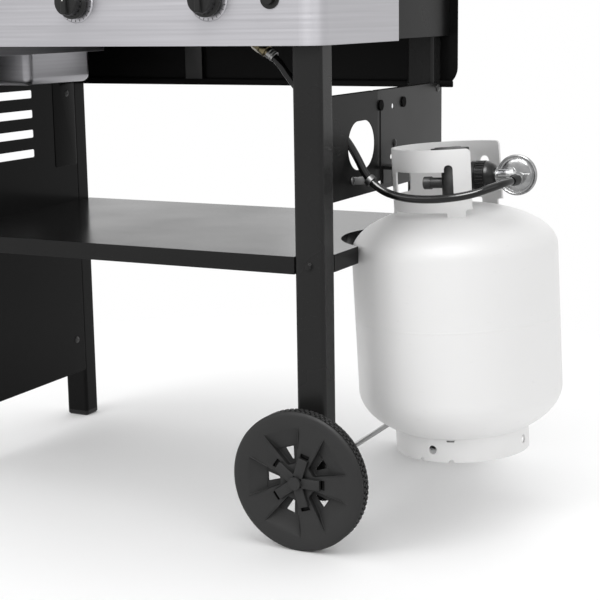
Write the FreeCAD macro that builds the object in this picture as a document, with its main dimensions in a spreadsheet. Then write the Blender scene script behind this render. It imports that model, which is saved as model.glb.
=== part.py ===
import FreeCAD, Part
import Sketcher
import math
import os
import re

# Outdoor gas griddle station: a wheeled steel cart with a three-burner griddle and a hung gas cylinder.
# Millimetres, +Z up, +X towards the cylinder, -Y towards the cook. The floor is Z = 0.
# X is measured from the cart's middle plane and Y from the middle of its depth, and cart_x then
# puts the middle of the whole part's floor box at the origin.

Vector = FreeCAD.Vector

SIZES = [
    ("cart_x", -123.275, "middle plane of the cart, seen from the origin"),
    ("seat_gap", 0.3, "clearance where one piece seats beside another"),
    ("lap", 1, "overlap of the shapes that make one piece"),
    ("over", 1, "reach of a cutting shape beyond the face it cuts"),
    ("running_fit", 0.08, "radial clearance of a bore on its shaft"),
    ("sheet_wall", 1.2, "steel sheet of the panels"),
    ("front_span", 761, "over the outer faces of the front legs"),
    ("rear_inset", 8, "rear legs inside the front legs' outer face, each side"),
    ("frame_depth", 463, "over the front and rear faces of the legs"),
    ("leg_width", 45, "leg tube along X"),
    ("leg_depth", 38, "leg tube along Y"),
    ("leg_corner", 6, "outer corner radius of the leg tube"),
    ("leg_wall", 1.5, "wall of the leg tube"),
    ("leg_top", 735, "top of the legs"),
    ("wheel_leg_foot", 62, "lower end of the two legs on wheels"),
    ("cap_height", 9, "foot cap below its leg"),
    ("cap_plug", 22, "plug of the foot cap inside its leg"),
    ("cap_chamfer", 3, "chamfer under the foot cap"),
    ("rail_tall", 30, "top rail height"),
    ("rail_deep", 18, "top rail depth"),
    ("rail_wall", 1.5, "wall of the top rails"),
    ("shelf_top", 412, "upper face of the lower shelf"),
    ("shelf_lip", 25, "height of the shelf's turned-down edge"),
    ("shelf_overhang", 7, "shelf beyond the rear leg on the cylinder's side"),
    ("notch_radius", 129, "round notch for the cylinder"),
    ("notch_shift", 35, "centre of the notch from the cylinder's, towards the middle plane"),
    ("side_panel_foot", 91, "lower edge of the slotted panel"),
    ("side_panel_drop", 35, "upper edge of the slotted panel below the legs' top"),
    ("side_flange", 24, "flange of the slotted panel on the legs"),
    ("slot_length", 137, "slot of the slotted panel"),
    ("slot_height", 13.7, "slot of the slotted panel"),
    ("slot_pitch", 34.2, "from one slot to the next"),
    ("slot_drop", 190.35, "middle of the lowest slot below the panel's upper edge"),
    ("slot_corner", 3, "corner radius of the slots"),
    ("band_tall", 147.4, "height of the panels beside the cylinder"),
    ("band_drop", 104, "upper edge of those panels below the legs' top"),
    ("band_flange", 13, "flange of those panels"),
    ("band_seam", -21.8, "middle of the seam between those panels"),
    ("band_parting", 11, "from panel to panel across that seam"),
    ("band_lap", 8, "strip behind the seam, beyond the panels' edges"),
    ("hose_hole_y", -85.9, "middle of the hose hole"),
    ("hose_hole_drop", 75, "middle of the hose hole below its panel's upper edge"),
    ("hose_hole_long", 93, "hose hole along Y"),
    ("hose_hole_tall", 70, "hose hole along Z"),
    ("screw_hole", 4, "radius of the spare holes"),
    ("spare_rise", 45.5, "lower spare hole above its panel's lower edge"),
    ("boss_radius", 8, "round boss on the panel"),
    ("boss_stand", 2.5, "height of the boss"),
    ("boss_spread", 43, "boss from the middle of the pair"),
    ("boss_middle", 24.5, "middle of the boss pair along Y"),
    ("boss_drop", 22, "bosses below their panel's upper edge"),
    ("apron_side", 28, "rear apron beyond the rear legs, each side"),
    ("apron_drop", 112, "lower edge of the rear apron below the legs' top"),
    ("apron_rise", 91, "upper edge of the rear apron above the legs' top"),
    ("apron_wall", 1.5, "sheet of the rear apron"),
    ("apron_corner", 32, "lower corner radius of the apron"),
    ("apron_bracket_x", -89, "middle of the bracket on the apron"),
    ("apron_bracket_width", 33.5, "bracket on the apron along X"),
    ("apron_bracket_deep", 8.5, "bracket on the apron along Y"),
    ("wheel_radius", 101.5, "wheel, and so the height of its axle"),
    ("wheel_width", 29, "tyre along the axle"),
    ("wheel_stand", 20, "from the leg to the tyre"),
    ("wheel_shoulder", 5, "chamfer of the tread"),
    ("rim_inside", 83, "inner radius of the tyre ring"),
    ("face_stand", 11, "face of the wheel ahead of the middle of the tyre"),
    ("web_back", 3, "back of the wheel's web behind the middle of the tyre"),
    ("hub_radius", 17, "hub barrel"),
    ("hub_stand", 17, "outer end of the hub from the middle of the tyre"),
    ("arm_width", 15, "star arm of the wheel"),
    ("arm_reach", 36, "end of the star arm from the axle"),
    ("arm_rise", 5, "star arm above the face"),
    ("pocket_inner", 26, "pocket between two arms, from the axle"),
    ("pocket_outer", 66, "outer end of the pocket"),
    ("pocket_narrow", 7, "half width of the pocket at its inner end"),
    ("pocket_wide", 25, "half width of the pocket at its outer end"),
    ("pocket_floor", 2, "floor of the pocket ahead of the middle of the tyre"),
    ("window_inner", 31, "window in the pocket's floor, from the axle"),
    ("window_outer", 50, "outer end of the window"),
    ("window_narrow", 3, "half width of the window at its inner end"),
    ("window_wide", 8, "half width of the window at its outer end"),
    ("axle_radius", 4, "axle rod"),
    ("washer_radius", 10, "axle washer"),
    ("washer_wall", 1, "axle washer thickness"),
    ("axle_cap_radius", 9, "push cap on the axle"),
    ("axle_cap_length", 4, "push cap on the axle"),
    ("hood_side", 7, "control panel beyond the front legs, each side"),
    ("hood_stand", 20, "front face of the control panel ahead of the legs"),
    ("hood_back", 20, "rear end of the control panel's sides"),
    ("hood_drop", 33, "lower edge of the control panel below the legs' top"),
    ("hood_rise", 77, "upper edge of the control panel above the legs' top"),
    ("hood_corner", 30, "corner radius of the control panel"),
    ("hood_flange", 12, "flanges of the control panel"),
    ("skirt_drop", 30, "lower edge of the burner box below the legs' top"),
    ("box_floor", 1.5, "floor of the burner box"),
    ("box_rise", 95, "upper edge of the burner box above the legs' top"),
    ("box_setback", 66.5, "front wall of the burner box behind the legs' front"),
    ("ledge_inset", 5.5, "end of the ledge ahead of the front wall, inside the legs' outer face"),
    ("plate_inset", 2.5, "side of the griddle plate inside the front legs' outer face"),
    ("plate_ahead", 3.5, "front of the griddle plate ahead of the legs"),
    ("plate_behind", 5.5, "back of the griddle plate inside the legs' rear face"),
    ("plate_rise", 97, "underside of the griddle plate above the legs' top"),
    ("plate_wall", 5, "griddle plate"),
    ("rim_wall", 4, "rim of the griddle plate"),
    ("rim_height", 48, "rim above the cooking face"),
    ("front_rim_height", 20, "front rim above the cooking face"),
    ("plate_corner", 14, "corner radius of the griddle plate"),
    ("post_radius", 6, "post under the griddle plate"),
    ("post_side", 40.5, "post inside the front legs' outer face"),
    ("post_inset", 28, "posts inside the front and rear walls of the burner box"),
    ("chute_radius", 19, "grease chute"),
    ("chute_wall", 1, "wall of the grease chute"),
    ("chute_gap", 5, "lower end of the grease chute above the tray's rim"),
    ("burner_pitch", 220, "from one burner to the next"),
    ("burner_rise", 30, "axis of the burners, valves and knobs above the legs' top"),
    ("burner_radius", 12.7, "burner tube"),
    ("burner_wall", 1, "wall of the burner tube"),
    ("burner_proud", 11, "front end of the burner ahead of the burner box's front wall"),
    ("burner_setback", 56.5, "rear end of the burner inside the legs' rear face"),
    ("port_radius", 1.2, "gas port of the burner"),
    ("port_pitch", 16, "from one gas port to the next"),
    ("port_first", 40, "first gas port behind the front wall"),
    ("port_rise", 4.25, "gas ports above the burner's axis"),
    ("rest_width", 24, "rest under the rear end of a burner"),
    ("rest_deep", 16, "rest under the rear end of a burner"),
    ("spark_radius", 3, "spark electrode"),
    ("spark_length", 46, "spark electrode"),
    ("spark_offset", 26, "spark electrode beside its burner"),
    ("manifold_radius", 8, "gas manifold"),
    ("manifold_half", 290, "half length of the manifold"),
    ("manifold_setback", 28.5, "axis of the manifold behind the legs' front"),
    ("manifold_drop", 17, "axis of the manifold below the burners' axis"),
    ("inlet_side", 158.5, "gas inlet inside the rear legs' outer face"),
    ("inlet_rise", 2, "upper end of the inlet pipe above the burner box's floor"),
    ("inlet_radius", 6, "inlet pipe"),
    ("inlet_drop", 13, "inlet pipe below the legs' top"),
    ("inlet_bend", 9, "bend radius of the inlet pipe"),
    ("fitting_radius", 9.5, "brass fitting of the hose"),
    ("fitting_length", 26, "brass fitting of the hose"),
    ("hex_radius", 10.9, "hexagon of the brass fitting, over its corners"),
    ("hex_length", 13, "hexagon of the brass fitting"),
    ("valve_width", 22, "valve body along X"),
    ("valve_deep", 34, "valve body along Y"),
    ("valve_tall", 20, "valve body above the axis of the knob and below it"),
    ("spud_radius", 5, "jet of the valve"),
    ("spud_enter", 3, "jet inside the burner's open end"),
    ("stem_radius", 4, "valve stem"),
    ("stem_proud", 24.5, "front end of the stem ahead of the control panel"),
    ("stem_engage", 14, "stem inside the valve body"),
    ("stem_travel", 4, "push of the knob"),
    ("stem_clear", 6, "radius of the stem's hole in the panel"),
    ("bezel_radius", 30, "bezel behind a knob"),
    ("bezel_wall", 1.8, "bezel behind a knob"),
    ("knob_radius", 24, "knob"),
    ("knob_length", 27, "knob"),
    ("knob_skirt", 6, "wider skirt of the knob"),
    ("knob_step", 3, "skirt of the knob beyond its barrel"),
    ("knob_taper", 2, "draft of the knob's barrel"),
    ("knob_chamfer", 2, "chamfers of the knob"),
    ("knob_grip", 12, "grip bar across the knob"),
    ("knob_lift", 6, "grip bar above the knob's face"),
    ("igniter_x", 315, "igniter from the middle plane"),
    ("igniter_radius", 12, "igniter housing"),
    ("igniter_length", 32, "igniter housing"),
    ("igniter_lip", 2, "collar and nut of the igniter beyond its housing"),
    ("igniter_nut", 3.6, "nut behind the panel"),
    ("button_radius", 8, "igniter button"),
    ("button_stand", 7, "igniter button above its collar"),
    ("button_root", 7, "igniter button behind the panel's face"),
    ("button_travel", 4, "push of the igniter button"),
    ("tray_side", 100.5, "middle of the grease tray inside the rear legs' outer face"),
    ("tray_y", 27.5, "middle of the grease tray"),
    ("tray_width", 87, "grease tray along X, without its rim"),
    ("tray_length", 138, "grease tray along Y, without its rim"),
    ("tray_depth", 54, "grease tray"),
    ("tray_drop", 47, "upper face of the tray's rim below the legs' top"),
    ("tray_wall", 1, "sheet of the grease tray"),
    ("tray_corner", 24, "corner radius of the grease tray"),
    ("tray_bend", 13, "bend at the bottom of the grease tray"),
    ("tray_rim", 4, "rim of the grease tray beyond its wall"),
    ("tray_rim_tall", 2, "rim of the grease tray"),
    ("runner_lap", 3, "tray rim over its runner"),
    ("runner_front", 41.5, "front end of the tray's runners behind the legs' front"),
    ("runner_back", 88.5, "rear end of the tray's runners inside the legs' rear face"),
    ("runner_wall", 1.2, "sheet of the runner"),
    ("tank_out", 104, "cylinder at the top of its collar, beyond the rear legs"),
    ("tank_drop", 80, "collar's top below the upper edge of the panels beside it"),
    ("tank_lean", 2.98, "lean of the hung cylinder, degrees"),
    ("tank_height", 454, "cylinder from foot ring to collar top"),
    ("tank_radius", 152.4, "cylinder"),
    ("tank_wall", 2.5, "shell of the cylinder"),
    ("dome_top", 85, "top of the upper dome below the collar's top"),
    ("dome_rise", 67, "rise of the upper dome"),
    ("base_rise", 80, "rise of the lower dome"),
    ("tank_lift", 15, "lowest point of the shell above the foot ring's edge"),
    ("collar_radius", 86, "collar"),
    ("collar_wall", 2.5, "sheet of the collar"),
    ("window_top", 28, "upper edge of the collar's windows below its top"),
    ("window_foot", 70, "lower edge of the collar's windows below its top"),
    ("mouth_start", -52, "start of the collar's opening for the valve outlet, degrees"),
    ("mouth_sweep", 109, "sweep of that opening, degrees"),
    ("front_window_start", -150, "start of the collar's front window, degrees"),
    ("front_window_sweep", 82, "sweep of the collar's front window, degrees"),
    ("hook_window_start", 158, "start of the collar's window for the hook, degrees"),
    ("hook_window_sweep", 42, "sweep of the collar's window for the hook, degrees"),
    ("back_window_start", 78, "start of the collar's rear window, degrees"),
    ("back_window_sweep", 34, "sweep of the collar's rear window, degrees"),
    ("foot_ring_radius", 100, "foot ring of the cylinder"),
    ("ring_hole", 6.5, "radius of the drain holes in the foot ring"),
    ("ring_hole_rise", 18, "middle of the drain holes above the foot ring's edge"),
    ("ring_turn", 5, "drain holes turned from the cart's axes, clockwise seen from above, degrees"),
    ("outlet_drop", 45.1, "axis of the valve outlet below the collar's top"),
    ("outlet_radius", 16, "threaded end of the valve outlet"),
    ("outlet_reach", 58, "end of the valve outlet from the cylinder's axis"),
    ("outlet_neck", 12, "plain neck of the valve outlet"),
    ("outlet_thread", 33, "length of the outlet's threaded end"),
    ("valve_body_radius", 14, "cylinder valve body"),
    ("valve_body_top", 30, "top of the cylinder valve body below the collar's top"),
    ("valve_foot_radius", 18, "foot of the cylinder valve"),
    ("valve_foot_tall", 10, "foot of the cylinder valve"),
    ("spindle_radius", 5, "spindle of the cylinder valve"),
    ("relief_drop", 55, "axis of the relief valve's housing below the collar's top"),
    ("relief_radius", 8, "housing of the relief valve"),
    ("relief_reach", 31, "end of that housing from the cylinder's axis"),
    ("relief_cap_radius", 9.5, "cap of the relief valve"),
    ("relief_cap_length", 11, "cap of the relief valve"),
    ("handwheel_radius", 28, "handwheel"),
    ("handwheel_top", 4, "top of the handwheel below the collar's top"),
    ("handwheel_tall", 22, "handwheel"),
    ("lobe_radius", 9, "finger hollow in the handwheel's edge"),
    ("lobe_out", 4, "centre of the finger hollow beyond the handwheel's edge"),
    ("nut_start", 33, "coupling nut from the cylinder's axis"),
    ("nut_end", 70, "coupling nut from the cylinder's axis"),
    ("nut_radius", 22, "coupling nut"),
    ("nipple_radius", 8.9, "nipple of the regulator inside the nut"),
    ("cone_end", 99, "cone of the regulator from the cylinder's axis"),
    ("cone_small", 9.5, "cone of the regulator at the nut"),
    ("cone_large", 13.5, "cone of the regulator at the disc"),
    ("disc_middle", 102, "regulator disc from the cylinder's axis"),
    ("disc_radius", 29.5, "regulator disc"),
    ("disc_half", 5, "half thickness of the regulator disc"),
    ("disc_taper", 3, "tapered back of the regulator disc"),
    ("cap_rise", 1.5, "raised cap on the regulator disc"),
    ("cap_inset", 6, "cap inside the regulator disc's edge"),
    ("socket_along", 107.56, "hose socket of the regulator from the cylinder's axis"),
    ("socket_drop", 49.66, "hose socket of the regulator below the collar's top"),
    ("socket_radius", 8, "hose socket"),
    ("socket_reach", 22, "end of the hose socket from the middle of the depth"),
    ("hook_half", 13, "half width of the cylinder hook"),
    ("hook_wall", 5, "plate of the cylinder hook"),
    ("hook_reach", 24, "hook arm beyond the panel"),
    ("hook_lip", 15, "upturned end of the hook"),
    ("hook_rise", 8.4, "lower edge of the cylinder hook above its panel's lower edge"),
    ("hose_radius", 5.75, "gas hose"),
    ("clip_gap", 0.5, "clip clear of the hose"),
    ("clip_wall", 1.5, "band of the hose clip"),
    ("clip_width", 8, "band of the hose clip"),
    ("bolt_radius", 6.5, "head of the frame bolts"),
    ("bolt_head", 3.5, "head of the frame bolts"),
    ("screw_radius", 4.5, "head of the panel screws"),
    ("screw_head", 2, "head of the panel screws"),
    ("screw_low", 62, "lower screws above the slotted panel's lower edge"),
    ("screw_high", 92, "upper screws below the slotted panel's upper edge"),
]

# Places that follow from the sizes, by name. An expression may use them like sizes.
PLACES = {
    "rear_span": "front_span - 2 * rear_inset",
    "hood_span": "front_span + 2 * hood_side",
    "hood_front": "frame_depth / 2 + hood_stand",
    "hood_foot": "leg_top - hood_drop",
    "hood_top": "leg_top + hood_rise",
    "skirt_foot": "leg_top - skirt_drop",
    "box_top": "leg_top + box_rise",
    "box_front": "frame_depth / 2 - box_setback",
    "ledge_half": "front_span / 2 - ledge_inset",
    "plate_half": "front_span / 2 - plate_inset",
    "plate_front": "frame_depth / 2 + plate_ahead",
    "plate_back": "frame_depth / 2 - plate_behind",
    "plate_under": "leg_top + plate_rise",
    "post_x": "front_span / 2 - post_side",
    "post_front_y": "post_inset - box_front",
    "post_back_y": "frame_depth / 2 - post_inset",
    "burner_z": "leg_top + burner_rise",
    "burner_front": "box_front + burner_proud",
    "burner_back": "frame_depth / 2 - burner_setback",
    "manifold_y": "manifold_setback - frame_depth / 2",
    "manifold_z": "burner_z - manifold_drop",
    "inlet_x": "rear_span / 2 - inlet_side",
    "inlet_end": "leg_top + box_floor + inlet_rise",
    "inlet_run_z": "leg_top - inlet_drop",
    "stem_front": "hood_front + stem_proud",
    "stem_back": "valve_deep / 2 - manifold_y - stem_engage",
    "tray_x": "tray_side - rear_span / 2",
    "tray_top": "leg_top - tray_drop",
    "tray_foot": "tray_top - tray_depth",
    "chute_foot": "tray_top + chute_gap",
    "apron_half": "rear_span / 2 + apron_side",
    "apron_foot": "leg_top - apron_drop",
    "apron_top": "leg_top + apron_rise",
    "side_panel_top": "leg_top - side_panel_drop",
    "slot_first": "side_panel_top - slot_drop",
    "band_top": "leg_top - band_drop",
    "band_foot": "band_top - band_tall",
    "hose_hole_z": "band_top - hose_hole_drop",
    "boss_z": "band_top - boss_drop",
    "tank_x": "rear_span / 2 + tank_out",
    "tank_top": "band_top - tank_drop",
    "notch_middle": "tank_x - notch_shift",
    "hook_foot": "band_foot + hook_rise",
}
SLOT_COUNT = 4
WHEEL_ARMS = 5
BURNER_PORTS = 16
HANDWHEEL_LOBES = 6
HEXAGON_SIDES = 6

# Gas hose from the regulator's socket, round the cylinder's collar and through the hose hole to the
# brass fitting under the burner box. X is measured from the outer face of the panels beside the
# cylinder and Z from their upper edge.
HOSE_ROUTE = [
    (212.8, -22, -124),
    (212.8, -51, -124),
    (200.3, -80, -128.5),
    (172.3, -102, -139),
    (136.3, -110, -145),
    (103.3, -113, -147),
    (71.3, -114, -145),
    (41.5, -111, -137),
    (17.9, -111, -117.2),
    (4.7, -115, -87.2),
    (-8.7, -126, -60),
    (-30.7, -138, -34),
    (-60.7, -146, -4),
    (-84.7, -147, 24),
    (-100.7, -151.5, 50),
    (-125.2, -151.5, 67),
]
CLIP_RUN = 7
ARC_SHARE = 0.45  # of the shorter run, for the arc at each point of the route
EDGE_TOLERANCE = 0.01  # how near two numbers of an edge are to be the same

os.makedirs("parts", exist_ok=True)
doc = FreeCAD.newDocument("griddle_station")
sheet = doc.addObject("Spreadsheet::Sheet", "Sizes")
for row, (alias, value, note) in enumerate(SIZES, start=1):
    sheet.set(f"A{row}", note)
    sheet.set(f"B{row}", str(value))
    sheet.setAlias(f"B{row}", alias)
doc.recompute()
ALIASES = {alias for alias, value, note in SIZES}
pieces = []


def link(text):
    """Write an expression with its places spelled out and its sizes as cells of the sheet."""

    def spell(match):
        word = match[0]
        if word in PLACES:
            return f"({link(PLACES[word])})"
        return f"Sizes.{word}" if word in ALIASES else word

    return re.sub(r"[a-z_]+[a-z]", spell, str(text))


def value(text):
    """The number that an expression has now."""
    return float(sheet.evalExpression(link(text)))


def bind(thing, prop, text):
    thing.setExpression(prop, link(text))


def put(thing, x="0", y="0", z="0"):
    bind(thing, "Placement.Base.x", x)
    bind(thing, "Placement.Base.y", y)
    bind(thing, "Placement.Base.z", z)
    return thing


def keep(thing, label):
    """Make a finished object of the cart a sub-part under its own name."""
    thing.Label = label
    put(thing, "cart_x")
    pieces.append(thing)
    return thing


def keep_on_tank(thing, label):
    """Make an object drawn on the cylinder's own axis a sub-part that leans with the cylinder."""
    thing.Label = label
    thing.Placement = FreeCAD.Placement(Vector(), FreeCAD.Rotation(Vector(0, 1, 0), -value("tank_lean")))
    bind(thing, "Placement.Rotation.Angle", "tank_lean")
    thing.Placement.Rotation.Axis = Vector(0, -1, 0)
    put(thing, "cart_x + tank_x", "0", "tank_top")
    pieces.append(thing)
    return thing


# Primitives and booleans

def block(x, y, z, long_x, long_y, long_z):
    """A box from its low corner and its three lengths."""
    box = doc.addObject("Part::Box", "Block")
    bind(box, "Length", long_x)
    bind(box, "Width", long_y)
    bind(box, "Height", long_z)
    return put(box, x, y, z)


def turned(thing, along):
    """Lay a thing drawn along Z along X or Y."""
    if along == "x":
        thing.Placement.Rotation = FreeCAD.Rotation(Vector(0, 1, 0), 90)
    if along == "y":
        thing.Placement.Rotation = FreeCAD.Rotation(Vector(1, 0, 0), -90)
    return thing


def rod(x, y, z, radius, length, along="z"):
    bar = doc.addObject("Part::Cylinder", "Rod")
    bind(bar, "Radius", radius)
    bind(bar, "Height", length)
    return put(turned(bar, along), x, y, z)


def cone(x, y, z, start, end, length, along="z"):
    taper = doc.addObject("Part::Cone", "Taper")
    bind(taper, "Radius1", start)
    bind(taper, "Radius2", end)
    bind(taper, "Height", length)
    return put(turned(taper, along), x, y, z)


def fuse(*things):
    whole = doc.addObject("Part::MultiFuse", "Fused")
    whole.Shapes = list(things)
    whole.Refine = True
    return whole


def cut(base, *tools):
    rest = doc.addObject("Part::Cut", "Cut")
    rest.Base = base
    rest.Tool = tools[0] if len(tools) == 1 else fuse(*tools)
    return rest


def group(*things):
    """Separate solids that share one node."""
    lot = doc.addObject("Part::Compound", "Group")
    lot.Links = list(things)
    return lot


def edges_where(shape, test):
    """Numbers of the edges whose two ends pass the test."""
    found = []
    for number, edge in enumerate(shape.Edges, start=1):
        if len(edge.Vertexes) == 2 and test(edge.Vertexes[0].Point, edge.Vertexes[1].Point):
            found.append(number)
    return found


def upright(a, b):
    return abs(a.x - b.x) < EDGE_TOLERANCE and abs(a.y - b.y) < EDGE_TOLERANCE


def rounded(thing, radius, test=upright):
    """Round the edges of a primitive that pass the test."""
    doc.recompute()
    soft = doc.addObject("Part::Fillet", "Rounded")
    soft.Base = thing
    soft.Edges = [(number, value(radius), value(radius)) for number in edges_where(thing.Shape, test)]
    return soft


# Bodies drawn with sketches

def new_body():
    return doc.addObject("PartDesign::Body", "Body")


def page(body, plane, height):
    """An empty sketch on one of the body's own planes, at a height above it."""
    sketch = body.newObject("Sketcher::SketchObject", "Outline")
    origin = next(f for f in body.Origin.OriginFeatures if f.Role == plane)
    sketch.AttachmentSupport = [(origin, "")]
    sketch.MapMode = "FlatFace"
    bind(sketch, "AttachmentOffset.Base.z", height)
    return sketch


def pin_point(sketch, line, end, x, y):
    """Tie a point of the sketch to two expressions."""
    for kind, text in (("DistanceX", x), ("DistanceY", y)):
        number = sketch.addConstraint(Sketcher.Constraint(kind, -1, 1, line, end, value(text)))
        bind(sketch, f"Constraints[{number}]", text)


def outline(body, plane, height, corners):
    """A sketch of one closed outline of straight lines through the corners."""
    sketch = page(body, plane, height)
    count = len(corners)
    points = [Vector(value(x), value(y), 0) for x, y in corners]
    for i in range(count):
        sketch.addGeometry(Part.LineSegment(points[i], points[(i + 1) % count]), False)
    for i in range(count):
        sketch.addConstraint(Sketcher.Constraint("Coincident", i, 2, (i + 1) % count, 1))
        pin_point(sketch, i, 1, *corners[i])
    return sketch


def oblong(body, plane, height, low_x, low_y, high_x, high_y):
    """A sketch of one upright rectangle."""
    corners = [(low_x, low_y), (high_x, low_y), (high_x, high_y), (low_x, high_y)]
    return outline(body, plane, height, corners)


def ring(body, plane, height, x, y, radius):
    """A sketch of one circle."""
    sketch = page(body, plane, height)
    centre = Vector(value(x), value(y), 0)
    sketch.addGeometry(Part.Circle(centre, Vector(0, 0, 1), value(radius)), False)
    pin_point(sketch, 0, 3, x, y)
    number = sketch.addConstraint(Sketcher.Constraint("Radius", 0, value(radius)))
    bind(sketch, f"Constraints[{number}]", radius)
    return sketch


def pad(body, sketch, length, both_ways=False, backwards=False):
    feature = body.newObject("PartDesign::Pad", "Pad")
    feature.Profile = sketch
    bind(feature, "Length", length)
    feature.SideType = "Symmetric" if both_ways else "One side"
    feature.Reversed = backwards
    doc.recompute()
    return feature


def checked(body, feature, before):
    """A pocket that takes nothing away points the wrong way."""
    doc.recompute()
    if body.Shape.Volume > before - EDGE_TOLERANCE:
        raise RuntimeError(f"{feature.Name} cuts nothing")
    return feature


def pierce(body, sketch):
    """A pocket right through, both ways from its sketch."""
    before = body.Shape.Volume
    feature = body.newObject("PartDesign::Pocket", "Hole")
    feature.Profile = sketch
    feature.Type = "ThroughAll"
    feature.SideType = "Symmetric"
    return checked(body, feature, before)


def sink(body, sketch, depth):
    """A pocket of a given depth, from its sketch into the body."""
    before = body.Shape.Volume
    feature = body.newObject("PartDesign::Pocket", "Recess")
    feature.Profile = sketch
    bind(feature, "Length", depth)
    return checked(body, feature, before)


def revolve(body, sketch, axis):
    feature = body.newObject("PartDesign::Revolution", "Turned")
    feature.Profile = sketch
    feature.ReferenceAxis = (sketch, [axis])
    feature.Angle = 360
    doc.recompute()
    return feature


def soften(body, radius, test, kind="Fillet"):
    """Fillet or chamfer the body's edges that pass the test."""
    doc.recompute()
    base = body.Tip
    names = [f"Edge{number}" for number in edges_where(base.Shape, test)]
    feature = body.newObject(f"PartDesign::{kind}", kind)
    feature.Base = (base, names)
    bind(feature, "Radius" if kind == "Fillet" else "Size", radius)
    doc.recompute()
    return feature


def spread_round(body, originals, axis, count):
    """Repeat features round an axis of the body."""
    origin = next(f for f in body.Origin.OriginFeatures if f.Role == axis)
    feature = body.newObject("PartDesign::PolarPattern", "Round")
    feature.Originals = originals
    feature.Axis = (origin, [""])
    feature.Angle = 360
    feature.Occurrences = count
    body.Tip = feature
    doc.recompute()
    return feature


def spread_along(body, originals, axis, pitch, count):
    """Repeat features along an axis of the body."""
    origin = next(f for f in body.Origin.OriginFeatures if f.Role == axis)
    feature = body.newObject("PartDesign::LinearPattern", "Row")
    feature.Originals = originals
    feature.Direction = (origin, [""])
    feature.Mode = "Spacing"
    bind(feature, "Offset", pitch)
    feature.Occurrences = count
    body.Tip = feature
    doc.recompute()
    return feature


# Places that several pieces share

FRONT_IN = "(front_span / 2 - leg_width)"
REAR_OUT = "rear_span / 2"
REAR_IN = "(rear_span / 2 - leg_width)"
DEPTH_OUT = "frame_depth / 2"
DEPTH_IN = "(frame_depth / 2 - leg_depth)"
FRONT_LEG_X = "(front_span / 2 - leg_width / 2)"
REAR_LEG_X = "(rear_span / 2 - leg_width / 2)"
LEG_Y = "(frame_depth / 2 - leg_depth / 2)"
TYRE_Y = "(frame_depth / 2 + wheel_stand + wheel_width / 2)"
HUB_END = f"({TYRE_Y} + hub_stand)"
SHELF_UNDER = "(shelf_top - shelf_lip)"
SHELF_END = "(rear_span / 2 + shelf_overhang)"
PANEL_FACE = "(rear_span / 2 + sheet_wall)"
HOOD_IN = "(hood_span / 2 - sheet_wall)"
FLOOR_TOP = "(leg_top + box_floor)"
BURNER_X = {"left": "-burner_pitch", "centre": "0", "right": "burner_pitch"}


def column(middle_x, middle_y, inset, foot, top):
    """Upright block with rounded corners on a leg's outline, drawn in all round by the inset."""
    shaft = block(f"{middle_x} - leg_width / 2 + {inset}", f"{middle_y} - leg_depth / 2 + {inset}", foot,
                  f"leg_width - 2 * ({inset})", f"leg_depth - 2 * ({inset})", f"{top} - ({foot})")
    return rounded(shaft, f"leg_corner - ({inset})")


def build_leg(label, middle_x, middle_y, foot, axle_hole):
    """Rounded tube, open at both ends."""
    tools = [column(middle_x, middle_y, "leg_wall", f"{foot} - over", "leg_top + over")]
    if axle_hole:
        tools.append(rod(FRONT_LEG_X, f"{middle_y} - leg_depth", "wheel_radius", "axle_radius + running_fit",
                         "2 * leg_depth", "y"))
    keep(cut(column(middle_x, middle_y, "0", foot, "leg_top"), *tools), label)


def build_legs():
    build_leg("leg_front_left", f"-{FRONT_LEG_X}", f"-{LEG_Y}", "cap_height", False)
    build_leg("leg_rear_left", f"-{REAR_LEG_X}", LEG_Y, "cap_height", False)
    build_leg("leg_front_right", FRONT_LEG_X, f"-{LEG_Y}", "wheel_leg_foot", True)
    build_leg("leg_rear_right", REAR_LEG_X, LEG_Y, "wheel_leg_foot", True)


def build_foot_cap(label, middle_x, middle_y):
    """Plastic cap with a plug that sits in the leg's open end."""

    def lowest(a, b):
        return a.z < EDGE_TOLERANCE and b.z < EDGE_TOLERANCE

    base = column(middle_x, middle_y, "0", "0", "cap_height")
    doc.recompute()
    sole = doc.addObject("Part::Chamfer", "Chamfer")
    sole.Base = base
    chamfer = value("cap_chamfer")
    sole.Edges = [(number, chamfer, chamfer) for number in edges_where(base.Shape, lowest)]
    plug = column(middle_x, middle_y, "leg_wall + seat_gap", "cap_height", "cap_height + cap_plug")
    keep(fuse(sole, plug), label)


def build_foot_caps():
    build_foot_cap("foot_cap_front_left", f"-{FRONT_LEG_X}", f"-{LEG_Y}")
    build_foot_cap("foot_cap_rear_left", f"-{REAR_LEG_X}", LEG_Y)


def box_tube(x, y, z, long_x, long_y, long_z, along):
    """Rectangular tube, open at its two ends."""
    inner_x, inner_y, start_x, start_y = long_x, long_y, x, y
    if along == "x":
        start_y = f"{y} + rail_wall"
        inner_y = f"{long_y} - 2 * rail_wall"
    else:
        start_x = f"{x} + rail_wall"
        inner_x = f"{long_x} - 2 * rail_wall"
    outside = block(x, y, z, long_x, long_y, long_z)
    bore = block(start_x, start_y, f"{z} + rail_wall", inner_x, inner_y, f"{long_z} - 2 * rail_wall")
    return cut(outside, bore)


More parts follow.
